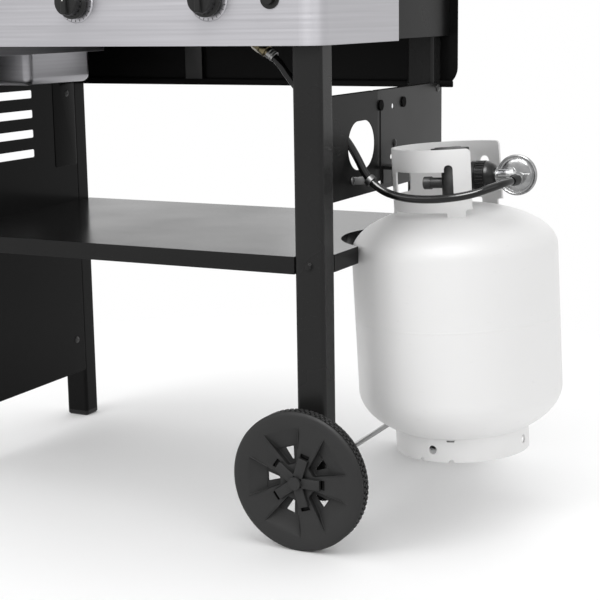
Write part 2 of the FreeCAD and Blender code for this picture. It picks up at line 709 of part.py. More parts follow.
def build_rails():
    foot = "leg_top - rail_tall"
    front_long = f"2 * {FRONT_IN}"
    rear_long = f"2 * {REAR_IN}"
    side_long = f"2 * {DEPTH_IN}"
    side_out = "(rear_span / 2 - leg_corner)"
    rear_face = f"{DEPTH_OUT} - rail_deep"
    keep(box_tube(f"-{FRONT_IN}", f"-{DEPTH_OUT}", foot, front_long, "rail_deep", "rail_tall", "x"),
         "top_rail_front")
    keep(box_tube(f"-{REAR_IN}", rear_face, foot, rear_long, "rail_deep", "rail_tall", "x"), "top_rail_rear")
    for label, x in (("top_rail_left", f"-{side_out}"), ("top_rail_right", f"{side_out} - rail_deep")):
        keep(box_tube(x, f"-{DEPTH_IN}", foot, "rail_deep", side_long, "rail_tall", "y"), label)


def shelf_blank(inset, foot, tall):
    """The shelf's outline as a block, drawn in all round by the inset."""
    left = f"(-{FRONT_IN} + seat_gap + {inset})"
    deep = f"({DEPTH_OUT} - {inset})"
    end = f"({SHELF_END} - {inset})"
    whole = block(left, f"-{deep}", foot, f"{end} - {left}", f"2 * {deep}", tall)
    beside = f"({DEPTH_IN} - seat_gap - {inset})"
    past_panel = f"({DEPTH_IN} + seat_gap + {inset})"
    front_leg = f"({FRONT_IN} - seat_gap - {inset})"
    rear_leg = f"({REAR_IN} - seat_gap - {inset})"
    panel = f"(-{REAR_IN} + sheet_wall + seat_gap + {inset})"
    leg_room = f"{DEPTH_OUT} + over - {beside}"
    tools = [
        block(front_leg, f"-{DEPTH_OUT} - over", foot, "2 * leg_width", leg_room, tall),
        block(rear_leg, beside, foot, "2 * leg_width", leg_room, tall),
        block(f"-{rear_leg} - leg_width", beside, foot, "leg_width", leg_room, tall),
        block(f"{panel} - leg_width", f"-{past_panel}", foot, "leg_width", f"2 * {past_panel}", tall),
    ]
    return cut(whole, *tools)


def build_shelf():
    """Pressed shelf with turned-down edges and a round notch for the cylinder."""
    solid = shelf_blank("0", SHELF_UNDER, "shelf_lip")
    hollow = cut(shelf_blank("sheet_wall", SHELF_UNDER, "shelf_lip - sheet_wall"),
                 rod("notch_middle", "0", SHELF_UNDER, "notch_radius + sheet_wall", "shelf_lip"))
    notch = rod("notch_middle", "0", SHELF_UNDER, "notch_radius", "shelf_lip")
    keep(cut(solid, hollow, notch), "lower_shelf")


def build_left_panel():
    """Slotted sheet between the two legs without wheels, folded outwards against them."""
    panel = new_body()
    face = f"-{REAR_IN}"
    inner = f"(-{REAR_IN} + sheet_wall)"
    lip = f"(-{REAR_IN} - side_flange)"
    corners = [
        (inner, f"-{DEPTH_IN}"),
        (inner, DEPTH_IN),
        (lip, DEPTH_IN),
        (lip, f"{DEPTH_IN} - sheet_wall"),
        (face, f"{DEPTH_IN} - sheet_wall"),
        (face, f"-{DEPTH_IN} + sheet_wall"),
        (lip, f"-{DEPTH_IN} + sheet_wall"),
        (lip, f"-{DEPTH_IN}"),
    ]
    pad(panel, outline(panel, "XY_Plane", "side_panel_foot", corners), "side_panel_top - side_panel_foot")
    low = ("-slot_length / 2", "slot_first - slot_height / 2")
    high = ("slot_length / 2", "slot_first + slot_height / 2")
    slot = pierce(panel, oblong(panel, "YZ_Plane", face, *low, *high))

    def slot_corner(a, b):
        along_x = abs(a.y - b.y) < EDGE_TOLERANCE and abs(a.z - b.z) < EDGE_TOLERANCE
        return along_x and abs(abs(a.y) - value("slot_length / 2")) < EDGE_TOLERANCE

    spread_along(panel, [slot], "Z_Axis", "slot_pitch", SLOT_COUNT)
    soften(panel, "slot_corner", slot_corner)
    keep(panel, "left_slotted_panel")


def band_channel(low_y, high_y, flange_end):
    """Upright sheet with a flange turned in along its top and bottom."""
    back = f"({PANEL_FACE} - band_flange)"
    tall = "band_tall"
    outside = block(back, low_y, "band_foot", "band_flange", f"{high_y} - ({low_y})", tall)
    inside = block(back, low_y, "band_foot + sheet_wall", "band_flange - sheet_wall",
                   f"{high_y} - ({low_y})", f"{tall} - 2 * sheet_wall")
    clear = block(back, flange_end, "band_foot", "band_flange - sheet_wall", DEPTH_OUT, tall)
    return cut(outside, inside, clear)


def build_right_panels():
    """Two sheets beside the cylinder, parted by an upright seam with a strip behind it."""
    front_edge = f"-{DEPTH_IN}"
    seam = "(band_seam - band_parting / 2)"
    front = band_channel(front_edge, seam, seam)
    tab = block(f"{PANEL_FACE} - 2 * band_flange", front_edge, "band_foot", "2 * band_flange", "sheet_wall",
                "band_tall")
    half = "(hose_hole_long - hose_hole_tall) / 2"
    deep = f"{PANEL_FACE} - 2 * band_flange"
    through = "3 * band_flange"
    oval = fuse(
        rod(deep, f"hose_hole_y - {half}", "hose_hole_z", "hose_hole_tall / 2", through, "x"),
        rod(deep, f"hose_hole_y + {half}", "hose_hole_z", "hose_hole_tall / 2", through, "x"),
        block(deep, f"hose_hole_y - {half}", "hose_hole_z - hose_hole_tall / 2", through, f"2 * {half}",
              "hose_hole_tall"))
    keep(cut(fuse(front, tab), oval), "right_front_panel")

    rear_seam = "(band_seam + band_parting / 2)"
    rear = band_channel(rear_seam, f"{DEPTH_OUT} - leg_wall", f"{DEPTH_IN} - seat_gap")
    strip = block(f"{REAR_OUT} - sheet_wall", f"{seam} - band_lap", "band_foot + band_flange", "sheet_wall",
                  "band_parting + 2 * band_lap", "band_tall - 2 * band_flange")
    spare = [rod(deep, "boss_middle + screw_hole", "boss_z - screw_hole", "screw_hole", through, "x"),
             rod(deep, "boss_middle - screw_hole / 2", "band_foot + spare_rise", "screw_hole", through, "x")]
    keep(cut(fuse(rear, strip), *spare), "right_rear_panel")
    bosses = [rod(PANEL_FACE, f"boss_middle {side} boss_spread", "boss_z", "boss_radius", "boss_stand", "x")
              for side in "-+"]
    keep(group(*bosses), "panel_bosses")


def build_apron():
    """Black sheet behind the rear legs with two rounded lower corners and a channel welded to its front."""
    apron = new_body()
    behind = f"-({DEPTH_OUT} + apron_wall)"
    sheet_outline = oblong(apron, "XZ_Plane", behind, "-apron_half", "apron_foot", "apron_half", "apron_top")
    pad(apron, sheet_outline, "apron_wall")

    def lower_corner(a, b):
        along_y = abs(a.x - b.x) < EDGE_TOLERANCE and abs(a.z - b.z) < EDGE_TOLERANCE
        return along_y and abs(a.z - value("apron_foot")) < EDGE_TOLERANCE

    soften(apron, "apron_corner", lower_corner)
    front = f"({DEPTH_OUT} - apron_bracket_deep)"
    start = "(apron_bracket_x - apron_bracket_width / 2)"
    tall = "leg_top - rail_tall - apron_foot"
    outside = block(start, front, "apron_foot", "apron_bracket_width", "apron_bracket_deep", tall)
    inside = block(f"{start} + apron_wall", f"{front} + apron_wall", "apron_foot",
                   "apron_bracket_width - 2 * apron_wall", "apron_bracket_deep", tall)
    keep(fuse(apron, cut(outside, inside)), "rear_apron")


def wedge_corners(name):
    """Outline of a named recess of the wheel, midway between two arms and wider at its outer end."""
    inner, outer = f"-{name}_inner", f"-{name}_outer"
    return [(f"{name}_narrow", inner), (f"{name}_wide", outer), (f"-{name}_wide", outer),
            (f"-{name}_narrow", inner)]


def build_wheel(label, side):
    """Plastic wheel: tread ring, face with five pockets and windows, hub barrel and a raised star."""
    wheel = new_body()
    half = "wheel_width / 2"
    hub_inner = f"({half} + wheel_stand - washer_wall - seat_gap)"
    bore = "axle_radius + running_fit"
    profile = [
        ("-hub_stand", bore),
        ("-hub_stand", "hub_radius"),
        ("-face_stand", "hub_radius"),
        ("-face_stand", "rim_inside"),
        (f"-{half}", "rim_inside"),
        (f"-{half}", "wheel_radius - wheel_shoulder"),
        (f"-{half} + wheel_shoulder", "wheel_radius"),
        (f"{half} - wheel_shoulder", "wheel_radius"),
        (half, "wheel_radius - wheel_shoulder"),
        (half, "rim_inside"),
        ("web_back", "rim_inside"),
        ("web_back", "hub_radius"),
        (hub_inner, "hub_radius"),
        (hub_inner, bore),
    ]
    revolve(wheel, outline(wheel, "YZ_Plane", "0", profile), "H_Axis")
    root = "hub_radius - lap"
    arm = [("-arm_width / 2", root), ("arm_width / 2", root), ("arm_width / 2", "arm_reach"),
           ("-arm_width / 2", "arm_reach")]
    star = pad(wheel, outline(wheel, "XZ_Plane", "face_stand", arm), "arm_rise")
    spread_round(wheel, [star], "Y_Axis", WHEEL_ARMS)
    recess = sink(wheel, outline(wheel, "XZ_Plane", "face_stand", wedge_corners("pocket")),
                  "face_stand - pocket_floor")
    spread_round(wheel, [recess], "Y_Axis", WHEEL_ARMS)
    hole = pierce(wheel, outline(wheel, "XZ_Plane", "0", wedge_corners("window")))
    spread_round(wheel, [hole], "Y_Axis", WHEEL_ARMS)
    wheel.Label = label
    put(wheel, f"cart_x + {FRONT_LEG_X}", f"{side}{TYRE_Y}", "wheel_radius")
    if side == "":
        wheel.Placement.Rotation = FreeCAD.Rotation(Vector(0, 0, 1), 180)
    pieces.append(wheel)


def build_wheels():
    build_wheel("wheel_front", "-")
    build_wheel("wheel_rear", "")
    reach = f"({HUB_END} + seat_gap)"
    shaft = rod(FRONT_LEG_X, f"-{reach} - axle_cap_length / 2", "wheel_radius", "axle_radius",
                f"2 * {reach} + axle_cap_length", "y")
    keep(group(shaft), "axle")
    washers = []
    caps = []
    for side in (-1, 1):
        low = f"{side} * ({DEPTH_OUT} + washer_wall / 2) - washer_wall / 2"
        disc = rod(FRONT_LEG_X, low, "wheel_radius", "washer_radius", "washer_wall", "y")
        hole = rod(FRONT_LEG_X, low, "wheel_radius", "axle_radius + running_fit", "washer_wall", "y")
        washers.append(cut(disc, hole))
        low = f"{side} * ({reach} + axle_cap_length / 2) - axle_cap_length / 2"
        start = f"{low} {'+' if side < 0 else '-'} axle_cap_length / 2"
        cap = rod(FRONT_LEG_X, low, "wheel_radius", "axle_cap_radius", "axle_cap_length", "y")
        bore = rod(FRONT_LEG_X, start, "wheel_radius", "axle_radius + running_fit", "axle_cap_length", "y")
        caps.append(cut(cap, bore))
    keep(group(*washers), "axle_washers")
    keep(group(*caps), "axle_caps")


def build_control_panel():
    """Stainless front that wraps round both sides, with rounded corners and holes for the controls."""
    half = "hood_span / 2"
    tall = "(hood_top - hood_foot)"
    deep = "hood_front + hood_back"
    above = f"{tall} + 2 * over"
    under = "hood_foot - over"
    inner = f"2 * {HOOD_IN}"

    def front_corner(a, b):
        return upright(a, b) and a.y < 0

    outside = rounded(block(f"-{half}", "-hood_front", "hood_foot", "hood_span", deep, tall), "hood_corner",
                      front_corner)
    room = rounded(block(f"-{HOOD_IN}", "-hood_front + sheet_wall", "hood_foot + sheet_wall", inner, deep,
                         f"{tall} - 2 * sheet_wall"), "hood_corner - sheet_wall", front_corner)
    behind = block(f"-{HOOD_IN}", "-hood_front + hood_flange", under, inner, deep, above)
    corner_room = rounded(block(f"-{HOOD_IN}", "-hood_front + sheet_wall", under, inner, deep, above),
                          "hood_corner - sheet_wall", front_corner)
    open_room = doc.addObject("Part::MultiCommon", "Shared")
    open_room.Shapes = [behind, corner_room]
    start, through = "-hood_front - over", "sheet_wall + 2 * over"
    holes = [rod(x, start, "burner_z", "stem_clear", through, "y") for x in BURNER_X.values()]
    holes.append(rod("igniter_x", start, "burner_z", "igniter_radius - sheet_wall", through, "y"))
    keep(cut(outside, room, open_room, *holes), "control_panel")


def build_burner_box():
    """Sheet box on the legs: floor, four walls, skirts at the sides and rests for the burners."""
    depth = f"({DEPTH_OUT} + box_front)"
    wide = f"2 * ({HOOD_IN} - sheet_wall)"
    side = f"-{HOOD_IN} + sheet_wall"
    outside = block(f"-{HOOD_IN}", "-box_front", "skirt_foot", f"2 * {HOOD_IN}", depth,
                    "box_top - skirt_foot")
    above = block(side, "-box_front + sheet_wall", FLOOR_TOP, wide, f"{depth} - 2 * sheet_wall",
                  f"box_top - {FLOOR_TOP}")
    below = block(side, "-box_front", "skirt_foot", wide, depth, "leg_top - skirt_foot")
    ledge = block("-ledge_half", f"-{DEPTH_OUT}", "leg_top", "2 * ledge_half",
                  f"{DEPTH_OUT} - box_front + sheet_wall", "box_floor")
    start, through = "-box_front - over", "sheet_wall + 2 * over"
    under, floor_through = "leg_top - over", "box_floor + 2 * over"
    rests = []
    holes = [rod("tray_x", "tray_y", under, "chute_radius + seat_gap", floor_through),
             rod("inlet_x", "manifold_y", under, "inlet_radius + 2 * seat_gap", floor_through)]
    for x in BURNER_X.values():
        rests.append(block(f"{x} - rest_width / 2", "burner_back - rest_deep", "leg_top", "rest_width",
                           "rest_deep", "burner_z - burner_radius - leg_top"))
        holes.append(rod(x, start, "burner_z", "burner_radius + seat_gap", through, "y"))
        holes.append(rod(f"{x} + spark_offset", start, "burner_z", "spark_radius + running_fit", through,
                         "y"))
    keep(cut(fuse(cut(outside, above, below), ledge, *rests), *holes), "burner_box")


def build_griddle():
    """Steel griddle plate with a high rim behind and beside it, a low one in front and a grease hole."""
    rim_top = "(plate_under + plate_wall + rim_height)"
    depth = "(plate_front + plate_back)"
    outside = rounded(block("-plate_half", "-plate_front", "plate_under", "2 * plate_half", depth,
                            f"{rim_top} - plate_under"), "plate_corner")
    inside = rounded(block("-plate_half + rim_wall", "-plate_front + rim_wall", "plate_under + plate_wall",
                           "2 * (plate_half - rim_wall)", f"{depth} - 2 * rim_wall", "rim_height + over"),
                     "plate_corner - rim_wall")
    ahead = block("-plate_half - over", "-plate_front - over", f"{rim_top} - rim_height + front_rim_height",
                  "2 * (plate_half + over)", "plate_corner + over", "rim_height")
    hole = rod("tray_x", "tray_y", "plate_under - over", "chute_radius - chute_wall", "plate_wall + 2 * over")
    keep(cut(outside, inside, ahead, hole), "griddle_plate")
    posts = [rod(x, y, FLOOR_TOP, "post_radius", f"plate_under - {FLOOR_TOP}")
             for x in ("-post_x", "post_x") for y in ("post_front_y", "post_back_y")]
    keep(group(*posts), "griddle_posts")
    tall = "plate_under - chute_foot"
    tube = rod("tray_x", "tray_y", "chute_foot", "chute_radius", tall)
    keep(cut(tube, rod("tray_x", "tray_y", "chute_foot", "chute_radius - chute_wall", tall)), "grease_chute")


def build_burners():
    """Stainless tube burners, open in front and closed behind, with a row of gas ports each side."""
    length = "burner_front + burner_back"
    across = "2 * (burner_radius + over)"
    for name, x in BURNER_X.items():
        tube = rod(x, "-burner_front", "burner_z", "burner_radius", length, "y")
        bore = rod(x, "-burner_front", "burner_z", "burner_radius - burner_wall",
                   f"{length} - burner_wall", "y")
        ports = []
        for number in range(BURNER_PORTS):
            place = f"-box_front + port_first + {number} * port_pitch"
            ports.append(rod(f"{x} - burner_radius - over", place, "burner_z + port_rise", "port_radius",
                             across, "x"))
        keep(cut(tube, bore, *ports), f"burner_{name}")
    sparks = [rod(f"{x} + spark_offset", "-box_front - spark_length / 3", "burner_z", "spark_radius",
                  "spark_length", "y") for x in BURNER_X.values()]
    keep(group(*sparks), "spark_electrodes")


def build_gas_train():
    """Manifold under the three valves, their stems, knobs and bezels."""
    main = rod("-manifold_half", "manifold_y", "manifold_z", "manifold_radius", "2 * manifold_half", "x")
    boss = rod("inlet_x", "manifold_y", "inlet_end", "manifold_radius", "manifold_z - inlet_end")
    keep(fuse(main, boss), "gas_manifold")
    bezels = []
    for name, x in BURNER_X.items():
        low_x = f"{x} - valve_width / 2"
        body = block(low_x, "manifold_y - valve_deep / 2", "manifold_z", "valve_width", "valve_deep",
                     "burner_z - manifold_z + valve_tall / 2")
        saddle = rod(low_x, "manifold_y", "manifold_z", "manifold_radius", "valve_width", "x")
        spud = rod(x, "manifold_y", "burner_z", "spud_radius", "spud_enter - burner_front - manifold_y", "y")
        bore = rod(x, "-stem_front", "burner_z", "stem_radius + running_fit",
                   "stem_front - stem_back + stem_travel + seat_gap", "y")
        keep(cut(fuse(body, spud), saddle, bore), f"valve_{name}")
        stem = rod(x, "-stem_front", "burner_z", "stem_radius", "stem_front - stem_back", "y")
        keep(group(stem), f"valve_stem_{name}")
        low_y = "-hood_front - bezel_wall"
        disc = cone(x, low_y, "burner_z", "bezel_radius - bezel_wall", "bezel_radius", "bezel_wall", "y")
        bezels.append(cut(disc, rod(x, low_y, "burner_z", "stem_clear", "bezel_wall", "y")))
        build_knob(name, x)
    keep(group(*bezels), "knob_bezels")


def build_knob(name, x):
    """Turned knob with a wider skirt and a grip bar across its face."""
    knob = new_body()
    bore = "stem_radius + running_fit"
    back = "(-stem_travel - bezel_wall - seat_gap)"
    front = f"({back} - knob_length + knob_lift)"
    barrel_end = "(knob_radius - knob_step - knob_taper)"
    profile = [
        (bore, back),
        ("knob_radius", back),
        ("knob_radius", f"{back} - knob_skirt"),
        ("knob_radius - knob_step", f"{back} - knob_skirt - knob_chamfer"),
        (barrel_end, f"{front} + knob_chamfer"),
        (f"{barrel_end} - knob_chamfer", front),
        ("0", front),
        ("0", "-(stem_front - hood_front) - seat_gap"),
        (bore, "-(stem_front - hood_front) - seat_gap"),
    ]
    revolve(knob, outline(knob, "XY_Plane", "0", profile), "V_Axis")
    bar = oblong(knob, "XZ_Plane", f"-{front}", "-knob_grip / 2", f"-{barrel_end}", "knob_grip / 2",
                 barrel_end)
    pad(knob, bar, "knob_lift")
    knob.Label = f"knob_{name}"
    put(knob, f"cart_x + {x}", "-hood_front", "burner_z")
    pieces.append(knob)


def build_igniter():
    """Push igniter: housing behind the panel, a collar in front of it and a sprung button."""
    front = "-hood_front - bezel_wall"
    wide = "igniter_radius + igniter_lip"
    collar = rod("igniter_x", front, "burner_z", wide, "bezel_wall", "y")
    barrel = rod("igniter_x", "-hood_front", "burner_z", "igniter_radius - sheet_wall - seat_gap",
                 "igniter_length", "y")
    nut = rod("igniter_x", "-hood_front + sheet_wall", "burner_z", wide, "igniter_nut", "y")
    well = rod("igniter_x", front, "burner_z", "button_radius + running_fit",
               "bezel_wall + button_root + button_travel + seat_gap", "y")
    keep(cut(fuse(collar, barrel, nut), well), "igniter_housing")
    button = rod("igniter_x", f"{front} - button_stand", "burner_z", "button_radius",
                 "button_stand + bezel_wall + button_root", "y")
    keep(group(button), "igniter_button")


def tray_form(grow, foot, top):
    """Round-cornered block of the grease tray, made larger all round by grow."""
    form = block(f"tray_x - tray_width / 2 - {grow}", f"tray_y - tray_length / 2 - {grow}", foot,
                 f"tray_width + 2 * {grow}", f"tray_length + 2 * {grow}", f"{top} - ({foot})")
    return rounded(form, f"tray_corner + {grow}")


def build_tray():
    """Pressed grease tray with a rolled rim that hangs on two runners."""

    def lowest(foot):
        return lambda a, b: max(abs(a.z - value(foot)), abs(b.z - value(foot))) < EDGE_TOLERANCE

    floor = "tray_foot + tray_wall"
    outside = rounded(tray_form("0", "tray_foot", "tray_top"), "tray_bend", lowest("tray_foot"))
    inside = rounded(tray_form("-tray_wall", floor, "tray_top"), "tray_bend - tray_wall", lowest(floor))
    rim = tray_form("tray_rim", "tray_top - tray_rim_tall", "tray_top")
    keep(cut(fuse(outside, rim), inside), "grease_tray")
    ledge_top = "(tray_top - tray_rim_tall - seat_gap)"
    edge = "(tray_width / 2 + tray_rim)"
    start_y = f"runner_front - {DEPTH_OUT}"
    length = f"(2 * {DEPTH_OUT} - runner_front - runner_back)"
    for name, side in (("left", -1), ("right", 1)):
        web_in = f"({edge} + seat_gap + runner_wall)"
        low = f"tray_x + {side} * ({web_in} + runner_wall / 2) - runner_wall / 2"
        web = block(low, start_y, f"{ledge_top} - runner_wall", "runner_wall", length,
                    f"leg_top - {ledge_top} + runner_wall")
        wide = f"({web_in} - {edge} + runner_lap)"
        low = f"tray_x + {side} * ({web_in} - {wide} / 2) - {wide} / 2"
        ledge = block(low, start_y, f"{ledge_top} - runner_wall", wide, length, "runner_wall")
        keep(fuse(web, ledge), f"tray_runner_{name}")


def dome(radius, rise, middle):
    """Flattened ball, used as the rounded end of the cylinder."""
    ball = doc.addObject("Part::Ellipsoid", "Dome")
    bind(ball, "Radius1", rise)
    bind(ball, "Radius2", radius)
    bind(ball, "Radius3", radius)
    return put(ball, "0", "0", middle)


def vessel(inset):
    """Closed cylinder with two domed ends, drawn in by the inset."""
    top = "(-dome_top - dome_rise)"
    foot = "(-tank_height + tank_lift + base_rise)"
    wide = f"tank_radius - {inset}"
    return fuse(rod("0", "0", foot, wide, f"{top} - {foot}"), dome(wide, f"dome_rise - {inset}", top),
                dome(wide, f"base_rise - {inset}", foot))


def wedge(name, foot, top):
    """Sector of a disc as a cutting tool, between the angles of a named opening of the collar."""
    sector = rod("0", "0", foot, "collar_radius + collar_wall", f"{top} - ({foot})")
    bind(sector, "Angle", f"{name}_sweep")
    sector.Placement.Rotation = FreeCAD.Rotation(Vector(0, 0, 1), value(f"{name}_start"))
    return sector


def build_tank():
    """Welded gas cylinder: shell, collar with openings and foot ring, all on one leaning axis."""
    keep_on_tank(cut(vessel("0"), vessel("tank_wall")), "tank_shell")
    tall = "(dome_top + dome_rise)"
    tube = cut(rod("0", "0", f"-{tall}", "collar_radius", tall),
               rod("0", "0", f"-{tall}", "collar_radius - collar_wall", tall), vessel("0"))
    windows = ("front_window", "hook_window", "back_window")
    openings = [wedge(name, "-window_foot", "-window_top") for name in windows]
    openings.append(wedge("mouth", f"-{tall}", "over"))
    keep_on_tank(cut(tube, *openings), "tank_collar")
    foot = "-tank_height"
    ring_tall = "tank_lift + base_rise"
    tube = cut(rod("0", "0", foot, "foot_ring_radius", ring_tall),
               rod("0", "0", foot, "foot_ring_radius - collar_wall", ring_tall), vessel("0"))
    reach = "(foot_ring_radius + over)"
    height = f"{foot} + ring_hole_rise"
    along_y = rod(f"-{reach} * sin(ring_turn)", f"-{reach} * cos(ring_turn)", height, "ring_hole",
                  f"2 * {reach}", "y")
    along_x = rod(f"-{reach} * cos(ring_turn)", f"{reach} * sin(ring_turn)", height, "ring_hole",
                  f"2 * {reach}", "x")
    turn = FreeCAD.Rotation(Vector(0, 0, 1), -value("ring_turn"))
    for hole in (along_y, along_x):
        hole.Placement.Rotation = turn.multiply(hole.Placement.Rotation)
    keep_on_tank(cut(tube, along_y, along_x), "tank_foot_ring")


def build_tank_valve():
    """Valve with its relief valve and spindle, the handwheel on it and the coupling nut on its outlet."""
    thread_start = "outlet_reach - outlet_thread"
    spindle = "valve_body_top + lap - handwheel_top"
    body = fuse(rod("0", "0", "-dome_top", "valve_foot_radius", "valve_foot_tall"),
                rod("0", "0", "-dome_top", "valve_body_radius", "dome_top - valve_body_top"),
                rod("0", "0", "-outlet_drop", "outlet_neck", "nut_start", "x"),
                rod(thread_start, "0", "-outlet_drop", "outlet_radius", "outlet_thread", "x"),
                rod("-relief_reach", "0", "-relief_drop", "relief_radius", "relief_reach", "x"),
                rod("-relief_reach - relief_cap_length", "0", "-relief_drop", "relief_cap_radius",
                    "relief_cap_length", "x"),
                rod("0", "0", "-valve_body_top - lap", "spindle_radius", spindle))
    keep_on_tank(cut(body, vessel("0")), "tank_valve")
    wheel_foot = "(-handwheel_top - handwheel_tall)"
    disc = rod("0", "0", wheel_foot, "handwheel_radius", "handwheel_tall")
    lobes = []
    out = "(handwheel_radius + lobe_out)"
    for number in range(HANDWHEEL_LOBES):
        turn = 360 / HANDWHEEL_LOBES * number
        lobes.append(rod(f"{out} * cos({turn})", f"{out} * sin({turn})", wheel_foot, "lobe_radius",
                         "handwheel_tall"))
    bore = rod("0", "0", wheel_foot, "spindle_radius + running_fit", "handwheel_tall + over")
    keep_on_tank(cut(disc, bore, *lobes), "tank_handwheel")
    length = "(nut_end - nut_start)"
    nut = rod("nut_start", "0", "-outlet_drop", "nut_radius", length, "x")
    thread = rod("nut_start", "0", "-outlet_drop", "outlet_radius + running_fit",
                 "outlet_reach - nut_start + seat_gap", "x")
    throat = rod("nut_start", "0", "-outlet_drop", "nipple_radius + running_fit", length, "x")
    keep_on_tank(cut(nut, thread, throat), "coupling_nut")


def build_regulator():
    """Die-cast regulator: nipple, cone, flat disc with a raised cap, and the hose socket."""
    nipple = rod("outlet_reach", "0", "-outlet_drop", "nipple_radius",
                 "nut_end - outlet_reach + seat_gap + lap", "x")
    taper = cone("nut_end + seat_gap", "0", "-outlet_drop", "cone_small", "cone_large",
                 "cone_end - nut_end - seat_gap", "x")
    disc = rod("disc_middle", "-disc_half", "-outlet_drop", "disc_radius", "2 * disc_half - disc_taper", "y")
    back = cone("disc_middle", "disc_half - disc_taper", "-outlet_drop", "disc_radius", "disc_radius / 2",
                "disc_taper", "y")
    cap = cone("disc_middle", "-disc_half - cap_rise", "-outlet_drop", "disc_radius / 2",
               "disc_radius - cap_inset", "cap_rise", "y")
    socket = rod("socket_along", "-socket_reach", "-socket_drop", "socket_radius",
                 "socket_reach - disc_half + lap", "y")
    keep_on_tank(fuse(nipple, taper, disc, back, cap, socket), "regulator")


def build_hook():
    """Plate hook on the side panel that carries the cylinder by the upper edge of its collar's slot."""
    top = "(tank_top - collar_radius * sin(tank_lean) - window_top * cos(tank_lean) - seat_gap)"
    under = f"{top} - hook_wall"
    wide = "2 * hook_half"
    plate = block(PANEL_FACE, "-hook_half", "hook_foot", "hook_wall / 2", wide, f"{top} - hook_foot")
    arm = block(PANEL_FACE, "-hook_half", under, "hook_reach + hook_wall", wide, "hook_wall")
    lip = block(f"{PANEL_FACE} + hook_reach", "-hook_half", under, "hook_wall", wide, "hook_lip + hook_wall")
    keep(fuse(plate, arm, lip), "tank_hook")


def tube_solid(route, radius, bend=None):
    """Round tube along straight runs joined by tangent arcs, and the length and arc radii it has."""
    points = [Vector(*p) for p in route]
    edges = []
    radii = []
    start = points[0]
    for before, corner, after in zip(points, points[1:], points[2:]):
        back = (before - corner).normalize()
        ahead = (after - corner).normalize()
        half_turn = (math.pi - back.getAngle(ahead)) / 2
        shorter = min((before - corner).Length, (after - corner).Length)
        arc_radius = bend or ARC_SHARE * shorter / math.tan(half_turn)
        trim = arc_radius * math.tan(half_turn)
        first = corner + back * trim
        last = corner + ahead * trim
        middle = corner + (back + ahead).normalize() * (arc_radius / math.cos(half_turn) - arc_radius)
        edges.append(Part.LineSegment(start, first).toShape())
        edges.append(Part.Arc(first, middle, last).toShape())
        radii.append(arc_radius)
        start = last
    edges.append(Part.LineSegment(start, points[-1]).toShape())
    path = Part.Wire(edges)
    section = Part.Wire([Part.Circle(points[0], points[1] - points[0], radius).toShape()])
    solid = path.makePipeShell([section], True, False)
    return solid, path.Length, radii


def keep_shape(shape, label):
    """A sub-part whose shape comes straight from its route."""
    thing = doc.addObject("Part::Feature", "Formed")
    thing.Shape = shape
    return keep(thing, label)


def build_hose():
    """Gas hose, the brass fitting at its end, the inlet pipe behind it and the clip on the panel."""
    radius = value("hose_radius")
    route = [(x + value(PANEL_FACE), y, z + value("band_top")) for x, y, z in HOSE_ROUTE]
    solid, length, radii = tube_solid(route, radius)
    keep_shape(solid, "gas_hose")
    expected = math.pi * radius ** 2 * length
    print(f"gas_hose length {length:.1f}, volume {solid.Volume:.0f} of {expected:.0f}")
    print("gas_hose radii", [round(r, 1) for r in radii])
    print("gas_hose least radius in diameters", round(min(radii) / (2 * radius), 2))

    end = Vector(*route[-1])
    heading = (end - Vector(*route[-2])).normalize()
    far = end + heading * value("fitting_length")
    body = Part.makeCylinder(value("fitting_radius"), value("fitting_length"), end, heading)
    flats = Part.Face(Part.makePolygon(hexagon(end, heading, value("hex_radius"))))
    nut = flats.extrude(heading * value("hex_length"))
    keep_shape(body.fuse(nut).removeSplitter(), "inlet_fitting")

    pipe_route = [
        tuple(far),
        (value("inlet_x"), far.y, value("inlet_run_z")),
        (value("inlet_x"), value("manifold_y"), value("inlet_run_z")),
        (value("inlet_x"), value("manifold_y"), value("inlet_end")),
    ]
    keep_shape(tube_solid(pipe_route, value("inlet_radius"), value("inlet_bend"))[0], "inlet_pipe")

    low, high = Vector(*route[CLIP_RUN]), Vector(*route[CLIP_RUN + 1])
    middle = (low + high) / 2
    axis = (high - low).normalize()
    start = middle - axis * value("clip_width / 2")
    bore_radius = value("hose_radius + clip_gap")
    band = Part.makeCylinder(bore_radius + value("clip_wall"), value("clip_width"), start, axis)
    half = value("clip_width / 2")
    arm_foot = Vector(value(PANEL_FACE), middle.y - half, middle.z - half)
    arm = Part.makeBox(middle.x - arm_foot.x, value("clip_width"), value("clip_width"), arm_foot)
    reach = value("3 * clip_width")
    bore = Part.makeCylinder(bore_radius, 2 * reach, middle - axis * reach, axis)
    keep_shape(band.fuse(arm).cut(bore).removeSplitter(), "hose_clip")


def hexagon(centre, axis, radius):
    """Closed points of a hexagon square to an axis."""
    across = axis.cross(Vector(0, 1, 0)).normalize()
    up = axis.cross(across).normalize()
    points = []
    for number in range(HEXAGON_SIDES + 1):
        turn = math.radians(360 / HEXAGON_SIDES * number)
        points.append(centre + across * (radius * math.cos(turn)) + up * (radius * math.sin(turn)))
    return points


